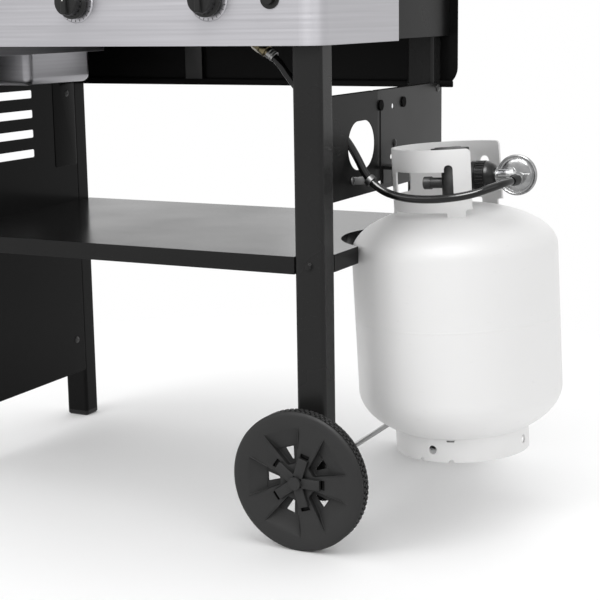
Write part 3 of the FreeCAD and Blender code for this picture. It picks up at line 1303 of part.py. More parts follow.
def build_fasteners():
    """Bolt heads on the legs' front and rear faces and screw heads on the panels."""
    bolts = []
    height = "shelf_top - shelf_lip / 2"
    for x in (f"-{FRONT_LEG_X}", FRONT_LEG_X):
        bolts.append(rod(x, f"-{DEPTH_OUT} - bolt_head", height, "bolt_radius", "bolt_head", "y"))
    for x in (f"-{REAR_LEG_X}", REAR_LEG_X):
        bolts.append(rod(x, DEPTH_OUT, height, "bolt_radius", "bolt_head", "y"))
    keep(group(*bolts), "frame_bolts")
    screws = []
    inner = f"(-{REAR_IN} + sheet_wall)"
    for y in (f"{DEPTH_IN} - side_flange", f"-{DEPTH_IN} + side_flange"):
        for z in ("side_panel_foot + screw_low", "side_panel_top - screw_high"):
            screws.append(rod(inner, y, z, "screw_radius", "screw_head", "x"))
    for z in ("band_top - 2 * screw_radius", "band_foot + 2 * screw_radius"):
        screws.append(rod(PANEL_FACE, LEG_Y, z, "screw_radius", "screw_head", "x"))
    keep(group(*screws), "panel_screws")


build_legs()
build_foot_caps()
build_rails()
build_shelf()
build_left_panel()
build_right_panels()
build_apron()
build_wheels()
build_control_panel()
build_burner_box()
build_griddle()
build_burners()
build_gas_train()
build_igniter()
build_tray()
build_tank()
build_tank_valve()
build_regulator()
build_hook()
build_hose()
build_fasteners()
doc.recompute()

for thing in doc.Objects:
    faults = {"Invalid", "Error"} & set(thing.State)
    if faults:
        raise RuntimeError(f"{thing.Label} is {faults}")
for piece in pieces:
    if piece.Shape.isNull() or not piece.Shape.isValid() or not piece.Shape.Solids:
        raise RuntimeError(f"{piece.Label} has no valid solid")
for piece in pieces:
    piece.Shape.exportStep(f"parts/{piece.Label}.step")
print(f"{len(pieces)} sub-parts written")
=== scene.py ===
import bpy
import math
from mathutils import Matrix, Vector


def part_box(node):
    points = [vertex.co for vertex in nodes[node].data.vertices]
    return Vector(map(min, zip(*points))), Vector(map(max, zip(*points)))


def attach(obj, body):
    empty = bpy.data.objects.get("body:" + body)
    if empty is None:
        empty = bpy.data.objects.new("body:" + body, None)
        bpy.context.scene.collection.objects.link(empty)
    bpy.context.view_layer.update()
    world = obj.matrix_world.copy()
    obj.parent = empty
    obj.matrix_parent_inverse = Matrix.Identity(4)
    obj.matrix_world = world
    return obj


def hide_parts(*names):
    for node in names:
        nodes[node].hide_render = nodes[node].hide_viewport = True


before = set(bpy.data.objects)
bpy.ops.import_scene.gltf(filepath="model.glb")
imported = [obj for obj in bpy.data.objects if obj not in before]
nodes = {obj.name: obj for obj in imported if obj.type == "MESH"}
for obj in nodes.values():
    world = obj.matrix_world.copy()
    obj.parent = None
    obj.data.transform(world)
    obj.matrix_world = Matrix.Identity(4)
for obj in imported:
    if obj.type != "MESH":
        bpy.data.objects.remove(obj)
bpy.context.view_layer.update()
scene = bpy.context.scene
scene.view_settings.view_transform = "Standard"
print("frame loaded,", len(nodes), "CAD nodes")


# Camera, fitted to the photograph
camera = {
    "place": (1.136195, -2.03827, 0.74893),
    "turn": 26.88,  # degrees towards the left
    "dip": 11.10,  # degrees below level
    "roll": -0.86,
    "lens": 88.65,
    "sensor": 36,
}


def makeCamera():
    turn, dip, roll = (math.radians(camera[key]) for key in ("turn", "dip", "roll"))
    ahead = Vector((-math.sin(turn) * math.cos(dip), math.cos(turn) * math.cos(dip), -math.sin(dip)))
    level = Vector((math.cos(turn), math.sin(turn), 0))
    upward = level.cross(ahead)
    right = math.cos(roll) * level + math.sin(roll) * upward
    up = -math.sin(roll) * level + math.cos(roll) * upward
    bpy.ops.object.camera_add(location=camera["place"])
    made = bpy.context.object
    made.rotation_euler = Matrix((right, up, -ahead)).transposed().to_euler()
    made.data.lens = camera["lens"]
    made.data.sensor_width = camera["sensor"]
    scene.camera = made


makeCamera()


# Shader nets: a socket that takes sums, a net that adds nodes, and a finish, the net of one material
class Wire:
    def __init__(self, net, socket):
        self.net = net
        self.socket = socket

    def to(self, operation, other):
        return self.net.add("Math", {"operation": operation}, (self, other))

    def __add__(self, other):
        return self.to("ADD", other)

    def __sub__(self, other):
        return self.to("SUBTRACT", other)

    def __rsub__(self, other):
        return self.net.add("Math", {"operation": "SUBTRACT"}, (other, self))

    def __mul__(self, other):
        return self.to("MULTIPLY", other)

    __radd__ = __add__
    __rmul__ = __mul__


class Net:
    def __init__(self, owner):
        owner.use_nodes = True
        self.tree = owner.node_tree

    def add(self, kind, settings, values, out=0):
        node = self.tree.nodes.new("ShaderNode" + kind)
        for key, setting in settings.items():
            setattr(node, key, setting)
        pairs = values.items() if isinstance(values, dict) else enumerate(values)
        for socket, value in pairs:
            self.feed(node.inputs[socket], value)
        return Wire(self, node.outputs[out])

    def feed(self, socket, value):
        if isinstance(value, Wire):
            self.tree.links.new(value.socket, socket)
        else:
            socket.default_value = value

    def fit(self, wire, low, high, toLow=0.0, toHigh=1.0):
        return self.add("MapRange", {}, (wire, low, high, toLow, toHigh))

    def blend(self, mask, first, second):  # 6, 7 and 2 are the node's colour sockets
        return self.add("Mix", {"data_type": "RGBA"}, {0: mask, 6: first, 7: second}, 2)


class Finish(Net):
    def __init__(self, name):
        self.material = bpy.data.materials.new(name)
        super().__init__(self.material)
        self.shader = self.tree.nodes["Principled BSDF"]
        self.place = self.add("TexCoord", {}, (), "Object")

    def noise(self, scale, detail, stretch=(1, 1, 1)):
        spot = self.add("Mapping", {}, {"Vector": self.place, "Scale": stretch})
        return self.add("TexNoise", {}, {"Vector": spot, "Scale": scale, "Detail": detail})

    def axis(self, letter):
        return self.add("SeparateXYZ", {}, (self.place,), letter)

    def finish(self, colour, roughness, metallic=0.0, relief=None, depth=0.0, edge=0.0, shine=0.5):
        self.feed(self.shader.inputs["Base Color"], colour)
        self.feed(self.shader.inputs["Roughness"], roughness)
        self.shader.inputs["Metallic"].default_value = metallic
        self.shader.inputs["Specular IOR Level"].default_value = shine
        if relief is not None:
            bump = {"Strength": 0.6, "Distance": depth, "Height": relief}
            if edge:
                bump["Normal"] = self.add("Bevel", {"samples": 4}, {"Radius": edge})
            self.feed(self.shader.inputs["Normal"], self.add("Bump", {}, bump))
        return self.material


usual = (0.3, 0.7)  # where most values of a noise lie


def tint(level, red=0.0, blue=None):  # a grey, with shares added to its red and blue
    return (level * (1 + red), level, level * (1 + (-red if blue is None else blue)), 1)


def powderCoat(name, tone, gloss, shine):
    made = Finish(name)
    cloud = made.noise(scale=5, detail=3)
    peel = made.noise(scale=900, detail=2)
    speck = made.fit(made.noise(scale=420, detail=1), low=0.72, high=0.78)
    base = made.blend(cloud, tint(tone * 0.85), tint(tone * 1.15, red=0.01))
    colour = made.blend(speck * 0.25, base, tint(tone * 2.2))
    rough = made.fit(cloud, *usual, toLow=gloss - 0.04, toHigh=gloss + 0.05) + speck * 0.1
    return made.finish(colour, rough, relief=peel, depth=0.00005, edge=0.0009, shine=shine)


def brushedSteel(name, low, high, rough, stretch, grainScale=260):
    made = Finish(name)
    grain = made.noise(scale=grainScale, detail=6, stretch=stretch)
    broad = made.noise(scale=3.5, detail=3, stretch=(1, 1, 2.5))
    mark = made.fit(made.noise(scale=38, detail=5, stretch=(0.2, 0.2, 1)), low=0.60, high=0.78)
    polish = 1 - mark * 0.1
    lavender = {"red": 0.012, "blue": 0.05}
    base = made.blend(made.fit(grain, *usual), tint(low, **lavender), tint(high, **lavender))
    streaks = made.fit(grain, *usual, toLow=rough - 0.03, toHigh=rough + 0.04)
    soft = (streaks + broad * 0.06) * polish
    return made.finish(base, soft, metallic=1.0, relief=grain, depth=0.000012, edge=0.0008)


def satinMetal(name, dark, light, rough, scale=45):
    made = Finish(name)
    cloud = made.noise(scale=scale, detail=5)
    fine = made.noise(scale=scale * 22, detail=3)
    base = made.blend(made.fit(cloud, low=0.35, high=0.65), dark, light)
    soft = made.fit(cloud, *usual, toLow=rough - 0.06, toHigh=rough + 0.10)
    return made.finish(base, soft, metallic=1.0, relief=fine, depth=0.00004, edge=0.0006)


def enamel(name, tone, rough):
    made = Finish(name)
    cloud = made.noise(scale=4, detail=3)
    peel = made.noise(scale=420, detail=2)
    scuff = made.fit(made.noise(scale=70, detail=6, stretch=(1, 1, 3)), low=0.66, high=0.80)
    # darker towards the bottom: below a ragged height the colour turns darker
    height = made.axis("Z") + made.noise(scale=14, detail=4) * 0.06
    lowDarkening = made.fit(height, low=0.10, high=0.16, toLow=1.0, toHigh=0.0)
    base = made.blend(cloud, tint(tone * 0.97, red=0.004), tint(tone * 1.02, red=0.002))
    worn = made.blend(scuff * 0.18, base, tint(tone * 0.72, red=0.02))
    colour = made.blend(lowDarkening * 0.25, worn, tint(tone * 0.66, red=0.01))
    soft = made.fit(cloud, *usual, toLow=rough - 0.04, toHigh=rough + 0.05) + scuff * 0.12
    return made.finish(colour, soft, relief=peel, depth=0.00008, edge=0.0008, shine=0.22)


def mouldedPlastic(name, tone, rough, grainScale, depth, shine=0.25):
    made = Finish(name)
    cloud = made.noise(scale=9, detail=3)
    grain = made.noise(scale=grainScale, detail=2)
    scuff = made.fit(made.noise(scale=95, detail=5), low=0.64, high=0.76)
    base = made.blend(cloud, tint(tone * 0.88), tint(tone * 1.12))
    worn = made.blend(scuff * 0.15, base, tint(tone * 1.7))
    # painted shade: where ambient occlusion finds recesses and gaps between parts, the colour darkens
    # towards near-black
    paintedShadeOpenness = made.add("AmbientOcclusion", {"samples": 6, "only_local": True}, {"Distance": 0.02}, "AO")
    colour = made.blend(made.fit(paintedShadeOpenness, low=0.35, high=0.95), tint(tone * 0.15), worn)
    soft = made.fit(cloud, *usual, toLow=rough - 0.05, toHigh=rough + 0.06) + scuff * 0.08
    return made.finish(colour, soft, relief=grain, depth=depth, edge=0.0006, shine=shine)


def seasonedSteel(name):
    made = Finish(name)
    patch = made.noise(scale=7, detail=6)
    bead = made.noise(scale=130, detail=4)
    wipe = made.fit(made.noise(scale=26, detail=4, stretch=(0.3, 1.6, 1)), low=0.52, high=0.75)
    burnt = made.blend(made.fit(patch, low=0.35, high=0.66), tint(0.018, red=0.06), tint(0.055, red=0.10))
    colour = made.blend(wipe * 0.5, burnt, tint(0.085, red=0.05))
    soft = made.fit(patch, *usual, toLow=0.26, toHigh=0.46) + bead * 0.08
    return made.finish(colour, soft, metallic=0.75, relief=bead, depth=0.0001, edge=0.0012)


def glossyRubber(name):
    made = Finish(name)
    cloud = made.noise(scale=24, detail=3)
    fine = made.noise(scale=700, detail=2)
    colour = made.blend(cloud, tint(0.003), tint(0.005))
    soft = made.fit(cloud, *usual, toLow=0.12, toHigh=0.16)
    return made.finish(colour, soft, relief=fine, depth=0.00001, shine=0.34)


def glazed(name):
    made = Finish(name)
    cloud = made.noise(scale=120, detail=3)
    colour = made.blend(cloud, tint(0.72, red=0.03), tint(0.84, red=0.02))
    soft = made.fit(cloud, *usual, toLow=0.16, toHigh=0.26)
    return made.finish(colour, soft, relief=cloud, depth=0.00003)


paint = {
    "frame": powderCoat("frameCoat", 0.013, 0.27, 0.16),
    # sheet: a darker copy of the frame's black paint, painted shade on the parts that lie in shade
    "sheet": powderCoat("sheetPaintedShadeCoat", 0.006, 0.30, 0.07),
    "panel": powderCoat("panelCoat", 0.012, 0.34, 0.16),
    # left: a darker copy of the black paint, painted shade on the left panel and its flanges
    "left": powderCoat("leftPanelPaintedShadeCoat", 0.006, 0.16, 0.06),
    # bracket: a lighter copy of the black paint, painted light on the apron bracket's face; the panel
    # screws share it
    "bracket": powderCoat("bracketPaintedLightCoat", 0.050, 0.32, 0.20),
    "boss": powderCoat("bossCoat", 0.004, 0.50, 0.01),
    "shelf": powderCoat("shelfCoat", 0.010, 0.18, 0.14),
    "fascia": brushedSteel("fasciaSteel", 0.40, 0.46, 0.34, (0.012, 0.012, 1)),
    "tray": brushedSteel("trayStainless", 0.30, 0.38, 0.36, (0.06, 0.015, 1), 180),
    "burner": satinMetal("burnerStainless", tint(0.42, -0.006), tint(0.58, 0.006), 0.33),
    "griddle": seasonedSteel("griddleSteel"),
    "zinc": satinMetal("zincPlate", tint(0.30, -0.006), tint(0.40, 0.006), 0.34),
    "alloy": satinMetal("diecastAlloy", tint(0.25, -0.01), tint(0.36, 0.0), 0.20, 60),
    "cast": satinMetal("castMetal", tint(0.07), tint(0.11), 0.42),
    "brass": satinMetal("agedBrass", (0.13, 0.11, 0.065, 1), (0.24, 0.20, 0.12, 1), 0.30),
    "tank": enamel("tankEnamel", 0.74, 0.44),
    "wheel": mouldedPlastic("wheelPlastic", 0.029, 0.50, 800, 0.00006, 0.12),
    "plastic": mouldedPlastic("blackPlastic", 0.010, 0.34, 500, 0.00004),
    "hose": glossyRubber("hoseRubber"),
    "ceramic": glazed("sparkCeramic"),
}
print("finishes made,", len(paint))


# Working tools for the new pieces: everything is built round its own Z axis, then put in place
weld = {"turned": 0.00002, "fine": 0.00001}  # corners that are nearer than this become one
crease = {"crisp": 30, "turned": 34, "rolled": 40, "seam": 60}  # degrees from which an edge stays sharp
topNormal = 0.9  # a face looks up from here on


def addShape(kind, name, stretch=(1, 1, 1), **options):
    bpy.ops.object.select_all(action="DESELECT")
    getattr(bpy.ops.mesh, f"primitive_{kind}_add")(**options)
    made = bpy.context.object
    made.name = name
    made.scale = stretch
    bpy.ops.object.transform_apply(location=True, rotation=True, scale=True)
    return made


def useOnly(*objects):
    bpy.ops.object.select_all(action="DESELECT")
    for thing in objects:
        thing.select_set(True)
    bpy.context.view_layer.objects.active = objects[0]


def pickTop(thing):  # the faces that look up
    for face in thing.data.polygons:
        face.select = face.normal.z > topNormal
    for edge in thing.data.edges:
        edge.select = False
    for corner in thing.data.vertices:
        corner.select = False
    for face in thing.data.polygons:
        if face.select:
            for index in face.vertices:
                thing.data.vertices[index].select = True


def edit(thing, *steps):
    useOnly(thing)
    bpy.ops.object.mode_set(mode="EDIT")
    for step in steps:
        step()
    bpy.ops.object.mode_set(mode="OBJECT")
    return thing


def editAll(thing, *steps):
    return edit(thing, lambda: bpy.ops.mesh.select_all(action="SELECT"), *steps)


def editTop(thing, step):
    pickTop(thing)
    return edit(thing, step)


def drawOut(step):
    bpy.ops.mesh.extrude_region_move(TRANSFORM_OT_translate={"value": step})


def weldCorners(kind):
    bpy.ops.mesh.remove_doubles(threshold=weld[kind])


def faceOutward():
    bpy.ops.mesh.select_all(action="SELECT")
    bpy.ops.mesh.normals_make_consistent(inside=False)


def turnProfile(name, profile, steps, closed=False):  # points are (radius, height), spun round Z
    made = addShape("plane", name, size=0.01)
    useOnly(made)
    bpy.ops.object.mode_set(mode="EDIT")
    bpy.ops.mesh.select_all(action="SELECT")
    bpy.ops.mesh.merge(type="CENTER")
    start = Vector((profile[0][0], 0, profile[0][1]))
    bpy.ops.transform.translate(value=start)
    points = list(profile[1:])
    if closed:
        points.append(profile[0])
    for radius, height in points:
        end = Vector((radius, 0, height))
        drawOut(end - start)
        start = end
    bpy.ops.mesh.select_all(action="SELECT")
    bpy.ops.mesh.spin(steps=steps, angle=2 * math.pi, center=(0, 0, 0), axis=(0, 0, 1))
    bpy.ops.mesh.select_all(action="SELECT")
    weldCorners("turned")
    faceOutward()
    bpy.ops.object.mode_set(mode="OBJECT")
    return made


def ringCopies(thing, count):
    share = (count - 1) / count
    return editAll(thing, lambda: bpy.ops.mesh.spin(steps=count - 1, angle=2 * math.pi * share, dupli=True,
                                                    center=(0, 0, 0), axis=(0, 0, 1)))


def useModifier(thing, kind, **settings):
    useOnly(thing)
    added = thing.modifiers.new(kind.title(), kind)
    for key, value in settings.items():
        setattr(added, key, value)
    bpy.ops.object.modifier_apply(modifier=added.name)
    return thing


def carve(thing, cutter, operation="DIFFERENCE"):
    useModifier(thing, "BOOLEAN", object=cutter, operation=operation, solver="EXACT")
    bpy.data.objects.remove(cutter)
    return thing


def joined(name, *things):
    useOnly(*things)
    bpy.ops.object.join()
    things[0].name = name
    return things[0]


def softEdges(thing, width, segments=2, angle=30):
    return useModifier(thing, "BEVEL", width=width, segments=segments, limit_method="ANGLE",
                       angle_limit=math.radians(angle), use_clamp_overlap=True, harden_normals=False)


def smoothed(thing, kind):
    useOnly(thing)
    bpy.ops.object.shade_smooth_by_angle(angle=math.radians(crease[kind]))
    return thing


def slab(name, wide, deep, tall, place=(0, 0, 0)):  # a start for shaping
    return addShape("cube", name, (wide, deep, tall), size=1, location=place)


def roundedBar(name, wide, tall, corner, reach):  # a window's outline in X and Z, drawn out along Y
    made = addShape("plane", name, (wide, tall, 1), size=1)
    editAll(made, lambda: bpy.ops.mesh.bevel(offset=corner, segments=6, affect="VERTICES"),
            lambda: bpy.ops.mesh.select_all(action="SELECT"),
            lambda: bpy.ops.transform.translate(value=(0, 0, -reach)),
            lambda: drawOut((0, 0, 2 * reach)),
            faceOutward)
    return putInPlace(made, (0, 0, 0), (math.radians(90), 0, 0))


def putInPlace(thing, place, turn=(0, 0, 0)):
    thing.location = place
    thing.rotation_euler = turn
    useOnly(thing)
    bpy.ops.object.transform_apply(location=True, rotation=True, scale=True)
    return thing


def along(run):  # the turn that points Z along the run
    return run.to_track_quat("Z", "Y").to_euler()


def dress(thing, finish, body, slot, *replaced):
    thing.data.materials.clear()
    thing.data.materials.append(paint[finish])
    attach(thing, body)
    if replaced:
        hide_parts(*replaced)
    return thing


# Gas hose: the same points as the CAD tube, from the panels' outer face and upper edge
hose = {
    "radius": 0.00575,
    "length": 0.5008,
    "steps": 40,
    "route": [
        (0.2128, -0.022, -0.124),
        (0.2128, -0.051, -0.124),
        (0.2003, -0.080, -0.1285),
        (0.1723, -0.102, -0.139),
        (0.1363, -0.110, -0.145),
        (0.1033, -0.113, -0.147),
        (0.0713, -0.114, -0.145),
        (0.0415, -0.111, -0.137),
        (0.0179, -0.111, -0.1172),
        (0.0047, -0.115, -0.0872),
        (-0.0087, -0.126, -0.060),
        (-0.0307, -0.138, -0.034),
        (-0.0607, -0.146, -0.004),
        (-0.0847, -0.147, 0.024),
        (-0.1007, -0.1515, 0.050),
        (-0.1252, -0.1515, 0.067),
    ],
    "boot": [
        (0.0058, 0.0002), (0.0083, 0.0002), (0.0083, 0.0090), (0.0077, 0.0100), (0.0077, 0.0124),
        (0.0070, 0.0136), (0.0066, 0.0190), (0.0058, 0.0200),
    ],
    "swivel": [
        (0.0059, -0.0004), (0.0088, -0.0004), (0.0096, 0.0006), (0.0096, 0.0094), (0.0088, 0.0104),
        (0.0070, 0.0108), (0.0070, 0.0130), (0.0059, 0.0134),
    ],
    "ferrule": [
        (0.0059, 0.0130), (0.0078, 0.0132), (0.0082, 0.0142), (0.0082, 0.0160), (0.0074, 0.0168),
        (0.0074, 0.0182), (0.0082, 0.0190), (0.0082, 0.0208), (0.0074, 0.0216), (0.0078, 0.0226),
        (0.0078, 0.0246), (0.0060, 0.0252),
    ],
}


def alongHose(name, part, start, toward, finish, slot):  # a turned piece round the hose, from its end in
    made = turnProfile(name, hose[part], hose["steps"], True)
    putInPlace(made, start, along(toward - start))
    smoothed(made, "rolled")
    return dress(made, finish, "cart", slot)


def makeHose():
    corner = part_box("right_rear_panel")[1]
    points = [Vector((corner.x + x, y, corner.z + z)) for x, y, z in hose["route"]]
    line = bpy.data.curves.new("gasHoseLine", "CURVE")
    line.dimensions = "3D"
    line.bevel_depth = hose["radius"]
    line.bevel_resolution = 8
    line.resolution_u = 12
    line.use_fill_caps = True
    spline = line.splines.new("NURBS")
    spline.points.add(len(points) - 1)
    for spot, point in zip(spline.points, points):
        spot.co = (*point, 1)
    spline.order_u = 3
    spline.use_endpoint_u = True
    made = bpy.data.objects.new("gasHose", line)
    scene.collection.objects.link(made)
    line.materials.append(paint["hose"])
    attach(made, "cart")
    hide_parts("gas_hose")
    swivel = alongHose("swivelNut", "swivel", points[-1], points[-2], "brass", "brass")
    ferrule = alongHose("hoseFerrule", "ferrule", points[-1], points[-2], "zinc", "zinc_steel")
    alongHose("hoseBoot", "boot", points[0], points[1], "plastic", "black_plastic")
    return points


hosePoints = makeHose()
print("hose laid")


# Wheels: a turned rim and face with pockets, windows and notches, then a star, ridges and tread blocks
wheel = {
    "steps": 120,
    "stand": 0.017,  # hub's end from the middle of the tyre
    "profile": [
        (0.0042, -0.0142), (0.0165, -0.0142), (0.0170, 0.0002), (0.0560, 0.0002), (0.0800, -0.0050),
        (0.0845, -0.0138), (0.0930, -0.0145), (0.0985, -0.0120), (0.0994, -0.0095), (0.0994, 0.0076),
        (0.1005, 0.0082), (0.1012, 0.0094), (0.1010, 0.0110), (0.0990, 0.0130), (0.0960, 0.0142),
        (0.0890, 0.0145), (0.0800, 0.0138), (0.0700, 0.0120), (0.0400, 0.0112), (0.0180, 0.0112),
        (0.0042, 0.0112),
    ],
    "arms": 5,
    "high": 0.030,  # top of the cutters
    # wedges: inner and outer end, half width at each, floor at each, and for the arm its top
    "pockets": [
        (0.0260, 0.0520, 0.0070, 0.0187, 0.0020, 0.0030),
        (0.0500, 0.0750, 0.0178, 0.0290, 0.0030, 0.0130),
    ],
    "window": (0.0315, 0.0500, 0.0014, 0.0070, -0.030, -0.030),
    "notch": (0.0365, 0.0425, 0.0066, 0.0072, 0.0060, 0.0060),
    "arm": (0.0, 0.0365, 0.0075, 0.0073, 0.0050, 0.0050, 0.0160),
    "ridgeReach": (0.046, 0.077),
    "ridgeSide": (0.0160, 0.0300),
    "ridgeFoot": (0.0100, 0.0120),
    "ridgeTop": (0.0121, 0.0142),
    "ridgeWide": 0.0013,
    "treadBlocks": 80,
    "treadRows": [(-0.0062, 0.0), (-0.0008, 0.5), (0.0046, 0.0)],
    "block": (0.0032, 0.0054, 0.0042),
    "treadBase": 0.0994,
    "soft": {  # widths of the rounded edges
        "rim": 0.0007,
        "pocket": 0.0022,
        "window": 0.0012,
        "arm": 0.0010,
        "ridge": 0.0004,
        "block": 0.0005,
    },
}


def shapedCube(name, corners):  # each corner is named by its side, 0 or 1, in X, Y and Z
    made = addShape("cube", name, size=2)
    for corner in made.data.vertices:
        key = tuple(1 if value > 0 else 0 for value in corner.co)
        corner.co = corners[key]
    return made


def wedgeShape(name, inner, outer, innerHalf, outerHalf, innerFloor, outerFloor, top):
    corners = {}
    for side in (0, 1):
        sign = 2 * side - 1
        corners[(0, side, 0)] = (inner, sign * innerHalf, innerFloor)
        corners[(1, side, 0)] = (outer, sign * outerHalf, outerFloor)
        corners[(0, side, 1)] = (inner, sign * innerHalf, top)
        corners[(1, side, 1)] = (outer, sign * outerHalf, top)
    return shapedCube(name, corners)


def pocketRidge(sign):  # thin raised line along one side of a pocket, falling away at its inner end
    corners = {}
    for end in (0, 1):
        for side in (0, 1):
            across = sign * wheel["ridgeSide"][end] + (side - 0.5) * wheel["ridgeWide"]
            corners[(end, side, 0)] = (wheel["ridgeReach"][end], across, wheel["ridgeFoot"][end])
            corners[(end, side, 1)] = (wheel["ridgeReach"][end], across, wheel["ridgeTop"][end])
    return shapedCube("ridge", corners)


def starOf(thing, soft, between):  # one copy to each arm, or to each space between two arms
    softEdges(thing, soft)
    if between:
        putInPlace(thing, (0, 0, 0), (0, 0, math.pi / wheel["arms"]))
    return ringCopies(thing, wheel["arms"])


def makeWheel(name, node, body):
    high, soft = wheel["high"], wheel["soft"]
    low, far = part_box(node)
    outward = -1 if low.y < 0 else 1
    outerEnd = low.y if outward < 0 else far.y
    centre = Vector(((low.x + far.x) / 2, outerEnd - outward * wheel["stand"], (low.z + far.z) / 2))
    rim = turnProfile(name, wheel["profile"], wheel["steps"], True)
    for pocket in wheel["pockets"]:
        carve(rim, starOf(wedgeShape("pocket", *pocket, high), soft["pocket"], True))
    carve(rim, starOf(wedgeShape("window", *wheel["window"], high), soft["window"], True))
    carve(rim, starOf(wedgeShape("notch", *wheel["notch"], high), soft["window"], False))
    softEdges(rim, soft["rim"])
    parts = [rim, starOf(wedgeShape("arm", *wheel["arm"]), soft["arm"], False)]
    for sign in (-1, 1):
        parts.append(starOf(pocketRidge(sign), soft["ridge"], True))
    for height, shift in wheel["treadRows"]:
        block = slab("block", *wheel["block"], (wheel["treadBase"], 0, height))
        softEdges(block, soft["block"], 1)
        putInPlace(block, (0, 0, 0), (0, 0, shift * 2 * math.pi / wheel["treadBlocks"]))
        parts.append(ringCopies(block, wheel["treadBlocks"]))
    whole = joined(name, *parts)
    putInPlace(whole, centre, (math.radians(90) * -outward, 0, 0))
    smoothed(whole, "turned")
    return dress(whole, "wheel", body, "wheel_plastic", node)


makeWheel("frontWheel", "wheel_front", "wheel_front")
makeWheel("rearWheel", "wheel_rear", "wheel_rear")
print("wheels made")


# Gas cylinder: collar, foot ring and seam, all on the leaning axis
tank = {
    "lean": 2.98,  # degrees, towards the panels at its top
    "out": 0.1028,  # axis at the collar's top, beyond the panels' outer face
    "drop": 0.080,  # collar's top below the panels' upper edge
    "collarRadius": 0.086,
    "wall": 0.0025,
    "cutterReach": 0.02,  # to each side of the sheet
    "edge": 0.0006,
    "edgeAngle": 50,
    "collarFoot": 0.0985,
    "collarGrid": (150, 6),  # columns and rows of the flat sheet
    "mouth": (51.5, 310.6),  # degrees that the collar's sheet covers
    "slant": 0.054,  # of the collar's rear edge
    "corner": 0.0065,
    # first and last degree, upper and lower edge below the top, corner
    "collarWindows": [
        (223.5, 293, 0.032, 0.070, 0.0045), (284.5, 293, 0.022, 0.060, 0.0060),
        (158, 200, 0.028, 0.070, 0.0045), (67.5, 79, 0.023, 0.066, 0.0075),
        (212, 286, 0.0900, 0.1000, 0.0020), (78, 176, 0.0860, 0.1000, 0.0030),
        (304, 313, 0.0865, 0.1010, 0.0040), (46, 57, 0.0865, 0.1010, 0.0040),
    ],
    "ringRadius": 0.100,
    "ringTop": 0.416,
    "ringFoot": 0.454,
    "ringHoles": [265, 355, 445, 175],
    "ringHoleDepth": 0.436,
    "ringHoleSize": 0.013,
    "ringHoleCorner": 0.495,  # share of the hole's size
    "ringNotches": [254, 281, 434, 101],
    "ringNotch": (2.4, 0.0042, 0.0040),  # half width in degrees, rise above the foot, corner
    "ringSlots": [281, 401, 161],
    "ringSlot": (3.4, 0.400, 0.4235, 0.0010),  # half width in degrees, upper and lower edge, corner
    "ringSheet": (90.4, 449.6),  # degrees that the foot ring's sheet covers
    "ringGrid": (180, 2),
    "seamSteps": 128,
    "seam": [(0.1510, -0.2560), (0.1523, -0.2544), (0.1526, -0.2520), (0.1523, -0.2496), (0.1510, -0.2480)],
}


def onTank(thing):
    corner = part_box("right_rear_panel")[1]
    return putInPlace(thing, (corner.x + tank["out"], 0, corner.z - tank["drop"]),
                      (0, -math.radians(tank["lean"]), 0))


def flatWindow(radius, angleLow, angleHigh, top, foot, corner):  # a cutter for an unrolled sheet
    low, high = math.radians(angleLow) * radius, math.radians(angleHigh) * radius
    made = roundedBar("cutter", high - low, foot - top, corner, tank["cutterReach"])
    return putInPlace(made, ((low + high) / 2, 0, -(top + foot) / 2))


def flatSheet(name, radius, angles, top, foot, grid):  # along X by angle, down Z by depth
    low, high = (math.radians(angle) * radius for angle in angles)
    sheet = addShape("grid", name, (high - low, foot - top, 1), size=1,
                     x_subdivisions=grid[0], y_subdivisions=grid[1])
    editAll(sheet, lambda: drawOut((0, 0, tank["wall"])), faceOutward)
    return putInPlace(sheet, ((low + high) / 2, 0, -(top + foot) / 2), (math.radians(90), 0, 0))


def rolled(sheet, radius):  # the flat sheet bent round the axis
    for corner in sheet.data.vertices:
        angle = corner.co.x / radius
        reach = radius + corner.co.y
        corner.co = (reach * math.cos(angle), reach * math.sin(angle), corner.co.z)
    sheet.data.update()
    editAll(sheet, lambda: weldCorners("fine"), faceOutward)
    softEdges(sheet, tank["edge"], 2, tank["edgeAngle"])
    return smoothed(sheet, "rolled")


def makeCollar():
    radius, foot = tank["collarRadius"], tank["collarFoot"]
    sheet = flatSheet("tankCollar", radius, tank["mouth"], 0, foot, tank["collarGrid"])
    start, end = (math.radians(angle) * radius for angle in tank["mouth"])
    outline = roundedBar("outline", end - start, 2 * foot, tank["corner"], tank["cutterReach"])
    putInPlace(outline, ((start + end) / 2, 0, -foot))
    carve(sheet, outline, "INTERSECT")
    for window in tank["collarWindows"]:
        carve(sheet, flatWindow(radius, *window))
    for corner in sheet.data.vertices:
        if corner.co.x < start + tank["corner"]:
            corner.co.x += tank["slant"] * corner.co.z
    return dress(onTank(rolled(sheet, radius)), "tank", "cart", "white_paint", "tank_collar")


def makeFootRing():
    radius, foot, hole = tank["ringRadius"], tank["ringFoot"], tank["ringHoleSize"]
    depth = tank["ringHoleDepth"]
    sheet = flatSheet("tankFootRing", radius, tank["ringSheet"], tank["ringTop"], foot, tank["ringGrid"])
    wide = math.degrees(hole / radius) / 2
    for angle in tank["ringHoles"]:
        carve(sheet, flatWindow(radius, angle - wide, angle + wide, depth - hole / 2, depth + hole / 2,
                                hole * tank["ringHoleCorner"]))
    half, rise, corner = tank["ringNotch"]
    for angle in tank["ringNotches"]:
        carve(sheet, flatWindow(radius, angle - half, angle + half, foot - rise, foot + rise, corner))
    half, top, low, corner = tank["ringSlot"]
    for angle in tank["ringSlots"]:
        carve(sheet, flatWindow(radius, angle - half, angle + half, top, low, corner))
    return dress(onTank(rolled(sheet, radius)), "tank", "cart", "white_paint", "tank_foot_ring")


def makeSeam():
    seam = turnProfile("tankSeam", tank["seam"], tank["seamSteps"])
    smoothed(seam, "seam")
    return dress(onTank(seam), "tank", "cart", "white_paint")


makeCollar()
makeFootRing()
makeSeam()
print("cylinder dressed")


